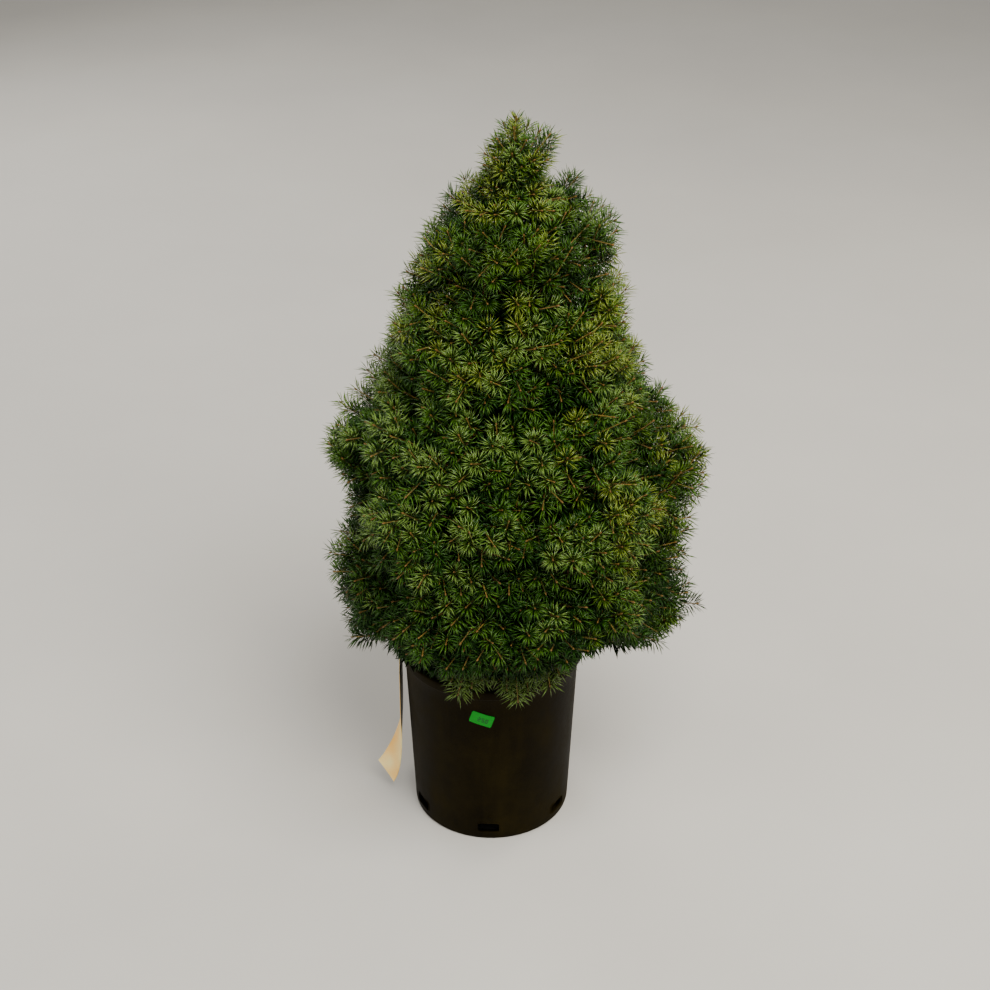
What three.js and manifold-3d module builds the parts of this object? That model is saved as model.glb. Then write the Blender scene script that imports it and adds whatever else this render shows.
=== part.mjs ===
// A dwarf white spruce in a black nursery pot, in millimetres, +Z up.
// The origin is the centre of the pot's flat underside. The front faces -Y, with +X to its right.
// The crown is built as it grows: a trunk, whorls of boughs, and on each bough one mass of foliage,
// which keeps to its own wedge of the crown between the whorls above and below and the neighbours beside.

import * as THREE from "three";
import { ConvexGeometry } from "three/addons/geometries/ConvexGeometry.js";
import { mergeVertices } from "three/addons/utils/BufferGeometryUtils.js";
import Module from "manifold-3d";

const wasm = await Module();
wasm.setup();

const GAP = 0.3;
const DEGREE = Math.PI / 180;

// The pot: a tapered shell with a rolled rim and drainage slots low in the wall.
const POT = {
  height: 220,
  footRadius: 90,
  wallTopRadius: 100,
  wall: 2,
  floor: 3,
  footEase: 2,
  rimRadius: 104,
  rimHeight: 12,
  rimEase: 1.5,
  facets: 42,
};
const SLOTS = { count: 6, width: 25, low: 10.5, high: 23.5, depth: 14 };

// The potting mix: level round the trunk, falling a little to the wall.
const SOIL = { top: 196, levelRadius: 40, edgeDrop: 6 };

// The price label: how far round the pot it sits from the front, its height and its slant.
const LABEL = { width: 26, height: 16, thick: 0.3, round: -8, middle: 179, slant: -18, across: 5 };

// The trunk: where it leaves the mix, how far its tip leans, its slow sway and its taper.
const TRUNK = {
  footX: 12,
  footY: 0,
  leanX: 13,
  leanY: 4,
  sway: 4,
  foot: SOIL.top + GAP,
  tip: 798,
  footRadius: 8.5,
  tipRadius: 2,
  flare: 6,
  flareHeight: 9,
  lobes: 5,
  lobeDepth: 0.12,
  sides: 10,
  rings: 15,
  crowding: 1.6,
};

// The crown's outline: its radius about the trunk's line at each height.
const CROWN_TOP = 853;
const OUTLINE = [
  [200, 158],
  [228, 176],
  [265, 190],
  [330, 195],
  [400, 193],
  [468, 200],
  [520, 174],
  [580, 141],
  [640, 121],
  [690, 108],
  [735, 97],
  [765, 72],
  [800, 44],
  [835, 20],
  [CROWN_TOP, 4],
];

// The surfaces between one whorl's foliage and the next are cones about the trunk's line:
// each has a height on that line and a rise for each millimetre outwards.
const PARTINGS = [
  { height: 266, rise: -0.3 },
  { height: 262, rise: 0.17 },
  { height: 330, rise: 0.33 },
  { height: 405, rise: 0.47 },
  { height: 490, rise: 0.7 },
  { height: 585, rise: 0.88 },
  { height: 700, rise: 0.95 },
];
const RIM_CLEARANCE = 6;

// The whorls from the lowest up: where the boughs leave the trunk, the turn of the first, how far each
// one's foliage reaches as a share of the outline, the limb's radius at the trunk, how steeply the outer
// sprays rise, and the rows of sprays on each mass. The lower whorls have bare boughs inside the crown.
const WHORLS = [
  {
    name: "skirt",
    leave: 249,
    turn: 12,
    reach: [0.98, 1, 0.97, 0.98, 1.02, 0.97, 1],
    limb: 4.2,
    lift: -24,
    rows: [3, 2],
    size: 1,
    hasBough: true,
  },
  {
    name: "low",
    leave: 297,
    turn: 38,
    reach: [1.02, 0.98, 1, 0.98, 1, 1.03, 1.02],
    limb: 4.4,
    lift: 8,
    rows: [2, 3, 2],
    size: 0.94,
    hasBough: true,
  },
  {
    name: "middle",
    leave: 369,
    turn: 3,
    reach: [1.06, 1, 1.01, 0.93, 1.02, 0.98],
    limb: 4.2,
    lift: 20,
    rows: [2, 3, 2],
    size: 1,
    hasBough: true,
  },
  {
    name: "shoulder",
    leave: 448,
    turn: 20,
    reach: [1.04, 1, 1.03, 1, 0.97],
    limb: 3.6,
    lift: 30,
    rows: [2, 3, 2],
    size: 1.05,
  },
  {
    name: "upper",
    leave: 538,
    turn: -8,
    reach: [1.07, 1, 1.04, 1],
    limb: 3.2,
    lift: 36,
    rows: [2, 3, 2],
    size: 1.02,
  },
  {
    name: "high",
    leave: 645,
    turn: 8,
    reach: [1.14, 0.97, 1],
    limb: 2.8,
    lift: 44,
    rows: [3, 3, 2],
    size: 0.94,
  },
];
const LEADER = {
  limb: 2,
  tipLimb: 1.3,
  rows: [
    { sprays: 5, foot: 779, height: 784, lift: 30, size: 0.86 },
    { sprays: 4, foot: 798, height: 806, lift: 50, size: 0.84 },
  ],
  topSize: 0.6,
  stray: 0.5,
  core: [
    { height: 770, radius: 8 },
    { height: 790, radius: 17 },
    { height: 812, radius: 11 },
  ],
};

// The boughs of a whorl leave the trunk one a little above another, so that there is room for each.
const STAGGER = { step: 3, rise: 22 };

// How a mass lies along its bough, as shares of the way from the trunk to its furthest sprays.
const BOUGH_END = 0.38;
const STEM_END = 0.9;
const STEM_TAPER = 0.3;
const STEM_BEND = 1.25;
const LIMB_SIDES = 6;
const CORE_RINGS = [
  { out: 0.44, wide: 0.42, tall: 0.5 },
  { out: 0.56, wide: 0.88, tall: 0.88 },
  { out: 0.74, wide: 0.92, tall: 0.9 },
  { out: 0.83, wide: 0.62, tall: 0.6 },
];
const CORE_SIDES = 7;
const CORE_UNEVEN = 0.07;

// A mass bulges at its middle and falls away to its edges, so that it reads as a lump of its own.
const BULGE = 0.03;
const FALL_BESIDE = 0.1;
const FALL_ABOVE = 0.06;
const CELL_MARGIN = 1.2;

// How far over a mass's face its sprays reach, how far each strays from its place, how their sizes vary,
// and how many degrees they fan out between the lowest row and the middle one.
const FACE = { across: 0.66, up: 0.6, stray: 0.05, uneven: 0.12, fan: 26 };

// A spray of needles is a star: a ring of needle points about a twig, swept forward, with a leading point.
// Its twig leaves the stem between two shares of its length, the outermost for the sprays at the middle.
// One that would leave its mass's room is made smaller by steps, and is left out below the smallest size.
const SPRAY = {
  needles: 5,
  reach: 23,
  sweep: 11,
  lead: 23,
  waist: 4.5,
  neck: 12,
  twigFoot: 2.4,
  twigTip: 1.6,
  rootInner: 0.56,
  rootOuter: 0.8,
  step: 0.93,
  smallest: 0.55,
};

const COLOURS = {
  pot: 0x1c1a16,
  soil: 0x3a2b1e,
  label: 0x12a83c,
  tag: 0xf2dcae,
  bark: 0x6b4a30,
  needles: 0x2f5a26,
};

const point = (x, y, z) => new THREE.Vector3(x, y, z);
const mix = (a, b, share) => a + (b - a) * share;

// A small seeded source of random numbers from 0 to 1.
function seeded(seed) {
  let state = Math.imul(seed + 1, 2654435761) >>> 0;
  return () => {
    state = (Math.imul(state, 1664525) + 1013904223) >>> 0;
    return state / 4294967296;
  };
}

// A closed solid for cutting and joining, from a three.js geometry.
function solidOf(geometry) {
  const bare = geometry.clone();
  bare.deleteAttribute("normal");
  bare.deleteAttribute("uv");
  const merged = mergeVertices(bare, 1e-4);
  return new wasm.Manifold(
    new wasm.Mesh({
      numProp: 3,
      vertProperties: new Float32Array(merged.attributes.position.array),
      triVerts: new Uint32Array(merged.index.array),
    }),
  );
}

// A three.js geometry from a solid.
function geometryOf(solid) {
  const mesh = solid.getMesh();
  const geometry = new THREE.BufferGeometry();
  geometry.setAttribute("position", new THREE.BufferAttribute(mesh.vertProperties, 3));
  geometry.setIndex(new THREE.BufferAttribute(mesh.triVerts, 1));
  return geometry;
}

// A geometry from corners and triangles that name them.
function faceted(corners, triangles) {
  const geometry = new THREE.BufferGeometry();
  const numbers = corners.flatMap((corner) => corner.toArray());
  geometry.setAttribute("position", new THREE.Float32BufferAttribute(numbers, 3));
  geometry.setIndex(triangles.flat());
  return geometry;
}

// A skin over rings of equal count, closed by a fan at both ends.
function skin(rings) {
  const count = rings[0].length;
  const triangles = [];
  for (let r = 0; r + 1 < rings.length; r += 1) {
    for (let i = 0; i < count; i += 1) {
      const j = (i + 1) % count;
      const low = r * count;
      const high = low + count;
      triangles.push([low + i, low + j, high + j], [low + i, high + j, high + i]);
    }
  }
  const last = (rings.length - 1) * count;
  for (let i = 1; i + 1 < count; i += 1) {
    triangles.push([0, i + 1, i], [last, last + i, last + i + 1]);
  }
  return faceted(rings.flat(), triangles);
}

// Two directions square to an axis and to each other.
function crossAxes(axis) {
  const reference = Math.abs(axis.z) < 0.9 ? point(0, 0, 1) : point(1, 0, 0);
  const across = reference.clone().cross(axis).normalize();
  return [across, axis.clone().cross(across).normalize()];
}

// A ring of corners round a centre, square to an axis.
function ringAt(centre, axis, radius, sides) {
  const [across, over] = crossAxes(axis);
  return Array.from({ length: sides }, (_, i) => {
    const angle = (2 * Math.PI * i) / sides;
    return centre
      .clone()
      .addScaledVector(across, radius * Math.cos(angle))
      .addScaledVector(over, radius * Math.sin(angle));
  });
}

// A tapering limb along a path of points, with a flat cut at both ends.
function limb(path, radii, sides) {
  const rings = path.map((centre, i) => {
    const before = path[Math.max(i - 1, 0)];
    const after = path[Math.min(i + 1, path.length - 1)];
    return ringAt(centre, after.clone().sub(before).normalize(), radii[i], sides);
  });
  return skin(rings);
}

// The trunk's line: where its middle is at a height, and on above its tip to the crown's top.
function trunkLine(height) {
  const share = (height - TRUNK.foot) / (CROWN_TOP - TRUNK.foot);
  const swing = TRUNK.sway * Math.sin(2 * Math.PI * share);
  return point(TRUNK.footX + TRUNK.leanX * share + swing, TRUNK.footY + TRUNK.leanY * share - swing, height);
}

function trunkRadius(height) {
  const share = (height - TRUNK.foot) / (TRUNK.tip - TRUNK.foot);
  const flare = TRUNK.flare * Math.exp(-(height - TRUNK.foot) / TRUNK.flareHeight);
  return mix(TRUNK.footRadius, TRUNK.tipRadius, share) + flare;
}

// The trunk from its flat cut on the mix to its tip, its root flare in lobes, stouter by extra all over.
function trunk(extra) {
  const rings = [];
  for (let r = 0; r <= TRUNK.rings; r += 1) {
    const height = mix(TRUNK.foot, TRUNK.tip + extra, (r / TRUNK.rings) ** TRUNK.crowding);
    const lobe = TRUNK.lobeDepth * Math.exp(-(height - TRUNK.foot) / (2 * TRUNK.flareHeight));
    const middle = trunkLine(height);
    rings.push(
      Array.from({ length: TRUNK.sides }, (_, i) => {
        const angle = (2 * Math.PI * i) / TRUNK.sides;
        const radius = trunkRadius(height) * (1 + lobe * Math.cos(TRUNK.lobes * angle)) + extra;
        return middle.clone().add(point(radius * Math.cos(angle), radius * Math.sin(angle), 0));
      }),
    );
  }
  return skin(rings);
}

function crownRadius(height) {
  const above = OUTLINE.findIndex(([z]) => z > height);
  if (above === 0) return OUTLINE[0][1];
  if (above < 0) return OUTLINE[OUTLINE.length - 1][1];
  const [lowZ, lowR] = OUTLINE[above - 1];
  const [highZ, highR] = OUTLINE[above];
  return mix(lowR, highR, (height - lowZ) / (highZ - lowZ));
}

// The height of a parting cone at a distance from the trunk's line. The lowest also clears the pot's rim.
function parting(index, outwards) {
  const { height, rise } = PARTINGS[index];
  const cone = height + rise * outwards;
  if (index > 0) return cone;
  const rim = POT.height + RIM_CLEARANCE;
  return outwards < POT.rimRadius + 2 * RIM_CLEARANCE + TRUNK.footX ? Math.max(cone, rim) : cone;
}

// A place in the crown from its direction about the trunk, its distance out and its height.
function place(direction, outwards, height) {
  return trunkLine(height).add(point(outwards * Math.cos(direction), outwards * Math.sin(direction), 0));
}

// Every mass of the crown with the wedge that it keeps to.
function massList() {
  const masses = [];
  WHORLS.forEach((whorl, level) => {
    const boughs = whorl.reach.length;
    whorl.reach.forEach((reach, i) => {
      masses.push({
        name: `${whorl.name}_${i + 1}`,
        whorl,
        level,
        reach,
        random: seeded(100 * level + 11 * i),
        leave: whorl.leave + (STAGGER.rise * ((i * STAGGER.step) % boughs)) / boughs,
        direction: (whorl.turn + (360 * i) / boughs) * DEGREE,
        halfAngle: Math.PI / boughs,
      });
    });
  });
  return masses;
}

// True where a place lies inside the mass's own wedge, a margin clear of its sides.
function insideWedge(mass, place, margin) {
  const middle = trunkLine(place.z);
  const x = place.x - middle.x;
  const y = place.y - middle.y;
  const outwards = Math.hypot(x, y);
  let off = Math.atan2(y, x) - mass.direction;
  off -= 2 * Math.PI * Math.round(off / (2 * Math.PI));
  const beside = outwards * Math.sin(mass.halfAngle - Math.abs(off));
  const below = place.z - parting(mass.level, outwards);
  const above = parting(mass.level + 1, outwards) - place.z;
  return beside > margin && below > margin && above > margin;
}

// True where a place lies above the highest whorl's foliage, in the leader's own room.
function aboveLastParting(place) {
  const middle = trunkLine(place.z);
  const outwards = Math.hypot(place.x - middle.x, place.y - middle.y);
  return place.z > parting(PARTINGS.length - 1, outwards) + CELL_MARGIN;
}

// A place in a mass's room: across and up run from -1 to 1 between its sides and its partings.
function roomPlace(mass, across, up, outwards) {
  const height = mix(parting(mass.level, outwards), parting(mass.level + 1, outwards), (up + 1) / 2);
  return place(mass.direction + across * mass.halfAngle, outwards, height);
}

// How far out the mass's face is, at a place across and up it.
function faceRadius(mass, across, up) {
  const bulge = 1 + BULGE - FALL_BESIDE * across * across - FALL_ABOVE * up * up;
  let outwards = crownRadius(mass.leave);
  for (let step = 0; step < 8; step += 1) {
    const height = roomPlace(mass, across, up, outwards).z;
    outwards = mix(outwards, crownRadius(height) * bulge * mass.reach, 0.6);
  }
  return outwards;
}

// A place on the mass's face, or a depth inside it.
function facePlace(mass, across, up, depth) {
  return roomPlace(mass, across, up, faceRadius(mass, across, up) - depth);
}

// The middle line of a mass's bough and stem: share 0 is on the trunk's line, 1 is the furthest sprays.
function stemLine(mass, share) {
  const start = trunkLine(mass.leave);
  const end = facePlace(mass, 0, 0, SPRAY.lead);
  const bend = share ** STEM_BEND;
  const across = start.clone().lerp(end, share);
  return point(across.x, across.y, mix(start.z, end.z, bend));
}

function stemRadius(mass, share) {
  return mass.whorl.limb * mix(1, STEM_TAPER, share);
}

// The limb along part of a mass's middle line.
function stemPart(mass, from, to, steps) {
  const shares = Array.from({ length: steps + 1 }, (_, i) => mix(from, to, i / steps));
  const path = shares.map((share) => stemLine(mass, share));
  const radii = shares.map((share) => stemRadius(mass, share));
  return limb(path, radii, LIMB_SIDES);
}

// A twig with a star of needles at its end, as one closed skin.
function sprayOnTwig(foot, end, axis, size, turn) {
  const corners = [];
  const triangles = [];
  const twig = end.clone().sub(foot).normalize();
  corners.push(...ringAt(foot, twig, SPRAY.twigFoot, 3));
  const neck = end.clone().addScaledVector(axis, -SPRAY.neck * size);
  corners.push(...ringAt(neck, axis, SPRAY.twigTip, 3));
  const [across, over] = crossAxes(axis);
  const count = 2 * SPRAY.needles;
  const ringStart = corners.length;
  for (let i = 0; i < count; i += 1) {
    const angle = turn + (2 * Math.PI * i) / count;
    const isNeedle = i % 2 === 0;
    const outwards = isNeedle ? SPRAY.reach * size : SPRAY.waist;
    const forward = isNeedle ? SPRAY.sweep * size : 0;
    corners.push(
      end
        .clone()
        .addScaledVector(axis, forward)
        .addScaledVector(across, outwards * Math.cos(angle))
        .addScaledVector(over, outwards * Math.sin(angle)),
    );
  }
  corners.push(end.clone().addScaledVector(axis, SPRAY.lead * size));
  const tip = corners.length - 1;
  triangles.push([0, 2, 1]);
  for (let i = 0; i < 3; i += 1) {
    const j = (i + 1) % 3;
    triangles.push([i, j, 3 + j], [i, 3 + j, 3 + i]);
  }
  const nearest = (i) => Math.floor((i * 3) / count);
  for (let i = 0; i < count; i += 1) {
    const here = ringStart + i;
    const next = ringStart + ((i + 1) % count);
    const neckHere = 3 + (nearest(i) % 3);
    const neckNext = 3 + (nearest(i + 1) % 3);
    triangles.push([here, next, tip], [next, here, neckHere]);
    if (neckNext !== neckHere) triangles.push([next, neckHere, neckNext]);
  }
  return { geometry: faceted(corners, triangles), points: corners.slice(ringStart) };
}

// Where the sprays of a mass stand on its face: rows from low to high, set like bricks, each a little uneven.
function sprayPlaces(mass) {
  const { rows, size } = mass.whorl;
  const widest = Math.max(...rows);
  const stray = () => FACE.stray * (2 * mass.random() - 1);
  return rows.flatMap((count, row) =>
    Array.from({ length: count }, (_, i) => ({
      across: FACE.across * ((2 * i + widest - count) / (widest - 1) - 1) + stray(),
      up: FACE.up * ((2 * row) / (rows.length - 1) - 1) + stray(),
      turn: 2 * Math.PI * mass.random(),
      size: size * (1 - FACE.uneven * mass.random()),
    })),
  );
}

// The direction a spray points: outwards from the trunk, lifted by the whorl's habit and its row.
function sprayAxis(mass, end, up) {
  const middle = trunkLine(end.z);
  const outwards = point(end.x - middle.x, end.y - middle.y, 0).normalize();
  const lift = (mass.whorl.lift + FACE.fan * up) * DEGREE;
  return point(outwards.x * Math.cos(lift), outwards.y * Math.cos(lift), Math.sin(lift));
}

// The dense middle of a mass, that its sprays stand out of: a lumpy body that fills most of its room.
function core(mass) {
  const rings = CORE_RINGS.map(({ out, wide, tall }) =>
    Array.from({ length: CORE_SIDES }, (_, i) => {
      const angle = (2 * Math.PI * (i + 0.5)) / CORE_SIDES;
      const across = wide * Math.cos(angle);
      const up = tall * Math.sin(angle);
      const uneven = 1 + CORE_UNEVEN * (2 * mass.random() - 1);
      return roomPlace(mass, across, up, out * uneven * faceRadius(mass, across, up));
    }),
  );
  return skin(rings);
}

// The largest closed skin of a solid, without its loose scraps, and solid right through.
function wholeBody(solid) {
  const larger = (one, other) => (other.volume() > one.volume() ? other : one);
  return solid.decompose().reduce(larger);
}

// One mass of foliage: its stem, its core and the sprays that stand out of it.
function massSolid(mass, stoutTrunk) {
  const gapShare = GAP / stemLine(mass, 1).distanceTo(stemLine(mass, 0));
  const from = mass.whorl.hasBough ? BOUGH_END + gapShare : 0;
  let solid = solidOf(stemPart(mass, from, STEM_END, 4)).add(solidOf(core(mass)));
  if (!mass.whorl.hasBough) solid = solid.subtract(stoutTrunk);
  sprayPlaces(mass).forEach(({ across, up, turn, size }) => {
    const end = facePlace(mass, across, up, SPRAY.lead * size);
    const axis = sprayAxis(mass, end, up);
    const foot = stemLine(mass, mix(SPRAY.rootOuter, SPRAY.rootInner, Math.abs(across)));
    let scale = size;
    let spray = sprayOnTwig(foot, end, axis, scale, turn);
    while (!spray.points.every((p) => insideWedge(mass, p, CELL_MARGIN)) && scale > SPRAY.smallest) {
      scale *= SPRAY.step;
      spray = sprayOnTwig(foot, end, axis, scale, turn);
    }
    if (scale > SPRAY.smallest) solid = solid.add(solidOf(spray.geometry));
  });
  return wholeBody(solid);
}

// The leader: the trunk's last shoot, with side sprays that lessen to the single spray at the crown's top.
function leaderSolid(stoutTrunk) {
  const random = seeded(7000);
  const end = trunkLine(CROWN_TOP - SPRAY.lead * LEADER.topSize);
  const stem = [trunkLine(TRUNK.tip + GAP), trunkLine(mix(TRUNK.tip, end.z, 0.5)), end];
  const radii = [LEADER.limb, mix(LEADER.limb, LEADER.tipLimb, 0.5), LEADER.tipLimb];
  const corners = LEADER.core.flatMap(({ height, radius }, row) =>
    Array.from({ length: CORE_SIDES }, (_, i) =>
      place((2 * Math.PI * (i + row / 2)) / CORE_SIDES, radius, height),
    ),
  );
  let solid = solidOf(limb(stem, radii, LIMB_SIDES)).add(solidOf(new ConvexGeometry(corners)));
  LEADER.rows.forEach((row, number) => {
    for (let i = 0; i < row.sprays; i += 1) {
      const direction = (2 * Math.PI * (i + number / 2)) / row.sprays + LEADER.stray * random();
      const lift = row.lift * DEGREE;
      const level = Math.cos(lift);
      const axis = point(Math.cos(direction) * level, Math.sin(direction) * level, Math.sin(lift));
      const outwards = crownRadius(row.height) - SPRAY.lead * row.size * level;
      const spray = sprayOnTwig(
        trunkLine(row.foot),
        place(direction, outwards, row.height),
        axis,
        row.size,
        2 * Math.PI * random(),
      );
      if (spray.points.every(aboveLastParting)) solid = solid.add(solidOf(spray.geometry));
    }
  });
  const top = sprayOnTwig(trunkLine(TRUNK.tip + 2), end, point(0, 0, 1), LEADER.topSize, 0);
  return wholeBody(solid.add(solidOf(top.geometry)).subtract(stoutTrunk));
}

function potWallRadius(height) {
  return mix(POT.footRadius, POT.wallTopRadius, height / POT.height);
}

// Turns a profile of [radius, height] about the upright axis.
function turned(profile) {
  const outline = profile.map(([radius, height]) => new THREE.Vector2(radius, height));
  return new THREE.LatheGeometry(outline, POT.facets).rotateX(Math.PI / 2);
}

function pot() {
  const { height, floor, wall, footEase, rimRadius, rimHeight, rimEase } = POT;
  const rimLow = height - rimHeight;
  const shell = turned([
    [0, 0],
    [potWallRadius(0) - footEase, 0],
    [potWallRadius(footEase), footEase],
    [potWallRadius(rimLow), rimLow],
    [rimRadius - rimEase, rimLow + rimEase],
    [rimRadius, rimLow + 2 * rimEase],
    [rimRadius, height - rimEase],
    [rimRadius - rimEase, height],
    [potWallRadius(height) - wall + rimEase, height],
    [potWallRadius(height) - wall, height - rimEase],
    [potWallRadius(floor) - wall, floor],
    [0, floor],
  ]);
  let solid = solidOf(shell);
  for (let i = 0; i < SLOTS.count; i += 1) {
    const slot = new THREE.BoxGeometry(SLOTS.depth, SLOTS.width, SLOTS.high - SLOTS.low);
    slot.translate(POT.footRadius, 0, (SLOTS.low + SLOTS.high) / 2);
    slot.rotateZ((-90 + (360 * i) / SLOTS.count) * DEGREE);
    solid = solid.subtract(solidOf(slot));
  }
  return geometryOf(solid);
}

function soil() {
  const bottom = POT.floor + GAP;
  const edge = SOIL.top - SOIL.edgeDrop;
  const inner = (height) => potWallRadius(height) - POT.wall - GAP;
  return turned([
    [0, bottom],
    [inner(bottom), bottom],
    [inner(edge), edge],
    [SOIL.levelRadius, SOIL.top],
    [0, SOIL.top],
  ]);
}

// The price label follows the pot's wall: a thin curved plate, turned a little in its own plane.
function priceLabel() {
  const slant = LABEL.slant * DEGREE;
  const rings = [];
  for (let column = 0; column <= LABEL.across; column += 1) {
    const along = (column / LABEL.across - 0.5) * LABEL.width;
    const edges = [
      [-1, 0],
      [1, 0],
      [1, 1],
      [-1, 1],
    ];
    rings.push(
      edges.map(([side, layer]) => {
        const up = (side * LABEL.height) / 2;
        const round = along * Math.cos(slant) - up * Math.sin(slant);
        const height = LABEL.middle + along * Math.sin(slant) + up * Math.cos(slant);
        const radius = potWallRadius(height) + GAP + layer * LABEL.thick;
        const angle = (LABEL.round - 90) * DEGREE + round / radius;
        return point(radius * Math.cos(angle), radius * Math.sin(angle), height);
      }),
    );
  }
  return skin(rings);
}

// The care tag: a plastic strip hooked over the rim at the pot's left, that hangs beside the wall and curls
// outwards at its foot. Each station below has its middle, the direction of its width, and its width.
const TAG = { thick: 0.8, strap: 7, wide: 31.6, insideLeg: 16 };

function careTag() {
  const over = POT.height + GAP + TAG.thick / 2;
  const legFoot = potWallRadius(over - TAG.insideLeg) - POT.wall;
  const inside = -(legFoot * Math.cos(Math.PI / POT.facets) - 2 * GAP - TAG.thick / 2);
  const outside = -(POT.rimRadius + GAP + TAG.thick / 2);
  const along = point(0, 1, 0);
  const stations = [
    { middle: point(inside, 0, over - TAG.insideLeg), width: along, wide: TAG.strap },
    { middle: point(inside, 0, over - TAG.thick), width: along, wide: TAG.strap },
    { middle: point(inside - TAG.thick, 0, over), width: along, wide: TAG.strap },
    { middle: point(outside + TAG.thick, 0, over), width: along, wide: TAG.strap },
    { middle: point(outside, 0, over - TAG.thick), width: along, wide: TAG.strap },
    { middle: point(outside, 0, 196), width: along, wide: TAG.strap },
    { middle: point(outside, 0, 182), width: along, wide: TAG.wide },
    { middle: point(outside - 0.5, 0, 118), width: along, wide: TAG.wide },
    { middle: point(outside - 2, 0, 92), width: point(-0.1, 0.97, 0.12), wide: TAG.wide },
    { middle: point(outside - 7, 0, 64), width: point(-0.3, 0.87, 0.32), wide: TAG.wide },
    { middle: point(outside - 14, -1, 43), width: point(-0.48, 0.7, 0.5), wide: TAG.wide },
    { middle: point(outside - 21, -1.5, 30), width: point(-0.59, 0.54, 0.6), wide: TAG.wide },
  ];
  const rings = stations.map(({ middle, width, wide }, i) => {
    const before = stations[Math.max(i - 1, 0)].middle;
    const after = stations[Math.min(i + 1, stations.length - 1)].middle;
    const run = after.clone().sub(before).normalize();
    const across = width.clone().normalize();
    const through = run.clone().cross(across).normalize();
    return [
      [-1, -1],
      [1, -1],
      [1, 1],
      [-1, 1],
    ].map(([side, face]) =>
      middle
        .clone()
        .addScaledVector(across, (side * wide) / 2)
        .addScaledVector(through, (face * TAG.thick) / 2),
    );
  });
  return skin(rings);
}

function finish(colour, roughness) {
  return new THREE.MeshStandardMaterial({ color: colour, roughness, metalness: 0 });
}

const plant = new THREE.Group();

function addPart(name, geometry, material) {
  const mesh = new THREE.Mesh(geometry, material);
  mesh.name = name;
  plant.add(mesh);
}

const bark = finish(COLOURS.bark, 0.9);
const needles = finish(COLOURS.needles, 0.6);

addPart("pot", pot(), finish(COLOURS.pot, 0.7));
addPart("soil", soil(), finish(COLOURS.soil, 1));
addPart("price_label", priceLabel(), finish(COLOURS.label, 0.5));
addPart("care_tag", careTag(), finish(COLOURS.tag, 0.5));
addPart("trunk", trunk(0), bark);

const stoutTrunk = solidOf(trunk(GAP / Math.cos(Math.PI / TRUNK.sides)));
massList().forEach((mass) => {
  if (mass.whorl.hasBough) {
    const bough = solidOf(stemPart(mass, 0, BOUGH_END, 3)).subtract(stoutTrunk);
    addPart(`bough_${mass.name}`, geometryOf(bough), bark);
  }
  addPart(`foliage_${mass.name}`, geometryOf(massSolid(mass, stoutTrunk)), needles);
});
addPart("foliage_leader", geometryOf(leaderSolid(stoutTrunk)), needles);

export default plant;
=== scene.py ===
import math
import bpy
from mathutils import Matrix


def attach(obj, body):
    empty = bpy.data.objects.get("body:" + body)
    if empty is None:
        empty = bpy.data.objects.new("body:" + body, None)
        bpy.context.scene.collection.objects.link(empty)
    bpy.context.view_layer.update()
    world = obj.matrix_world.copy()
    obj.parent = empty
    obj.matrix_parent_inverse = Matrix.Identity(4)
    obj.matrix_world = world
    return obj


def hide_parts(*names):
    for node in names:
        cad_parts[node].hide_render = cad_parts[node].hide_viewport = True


bl_info = {
    "name": "Potted Dwarf Spruce",
    "version": (1, 0, 0),
    "blender": (4, 5, 0),
    "location": "View3D > Sidebar > Spruce",
    "description": "Grows a dwarf spruce and its nursery pot on the frame of the packed solids",
    "category": "Object",
}

from typing import NamedTuple

import bmesh
import bpy
import numpy as np
from mathutils import Matrix, Vector, noise

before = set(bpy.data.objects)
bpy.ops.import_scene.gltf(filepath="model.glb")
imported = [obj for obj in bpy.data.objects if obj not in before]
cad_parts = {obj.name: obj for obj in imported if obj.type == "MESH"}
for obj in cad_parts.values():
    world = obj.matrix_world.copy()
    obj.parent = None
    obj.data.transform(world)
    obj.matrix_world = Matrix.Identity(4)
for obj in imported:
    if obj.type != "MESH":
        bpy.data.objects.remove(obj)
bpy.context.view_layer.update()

# The object's own sizes are in millimetres, as in the solids' source, and become metres in each mesh.
MM = 0.001
UP = np.array([0.0, 0.0, 1.0])
GOLDEN_TURN = math.radians(137.508)

# The trunk's line and taper.
TRUNK_FOOT = 196.3
TRUNK_TIP = 798.0
TRUNK_FOOT_AT = (12.0, 0.0)
TRUNK_LEAN = (13.0, 4.0)
TRUNK_SWAY = 4.0
TRUNK_RADII = (8.5, 2.0)
ROOT_FLARE = 6.0
ROOT_FLARE_HEIGHT = 9.0
ROOT_LOBES = 5
ROOT_LOBE_DEPTH = 0.12

# The bark's relief on the trunk and on the boughs: its depth and its scale. It is drawn out along them.
TRUNK_RELIEF = (0.8, 0.35)
BOUGH_RELIEF = (0.45, 0.5)
RELIEF_DRAWN = 0.4

# The crown's outline: its radius about the trunk's line at each height.
CROWN_TOP = 853.0
OUTLINE_HEIGHTS = (200, 228, 265, 330, 400, 468, 520, 580, 640, 690, 735, 765, 800, 835, CROWN_TOP)
OUTLINE_RADII = (158, 176, 190, 195, 193, 200, 174, 141, 121, 108, 97, 72, 44, 20, 4)

# The cones between the whorls' foliage: a height on the trunk's line and a rise for each millimetre
# outwards.
PARTINGS = (
    (266, -0.3),
    (262, 0.17),
    (330, 0.33),
    (405, 0.47),
    (490, 0.7),
    (585, 0.88),
    (700, 0.95),
)


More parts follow.
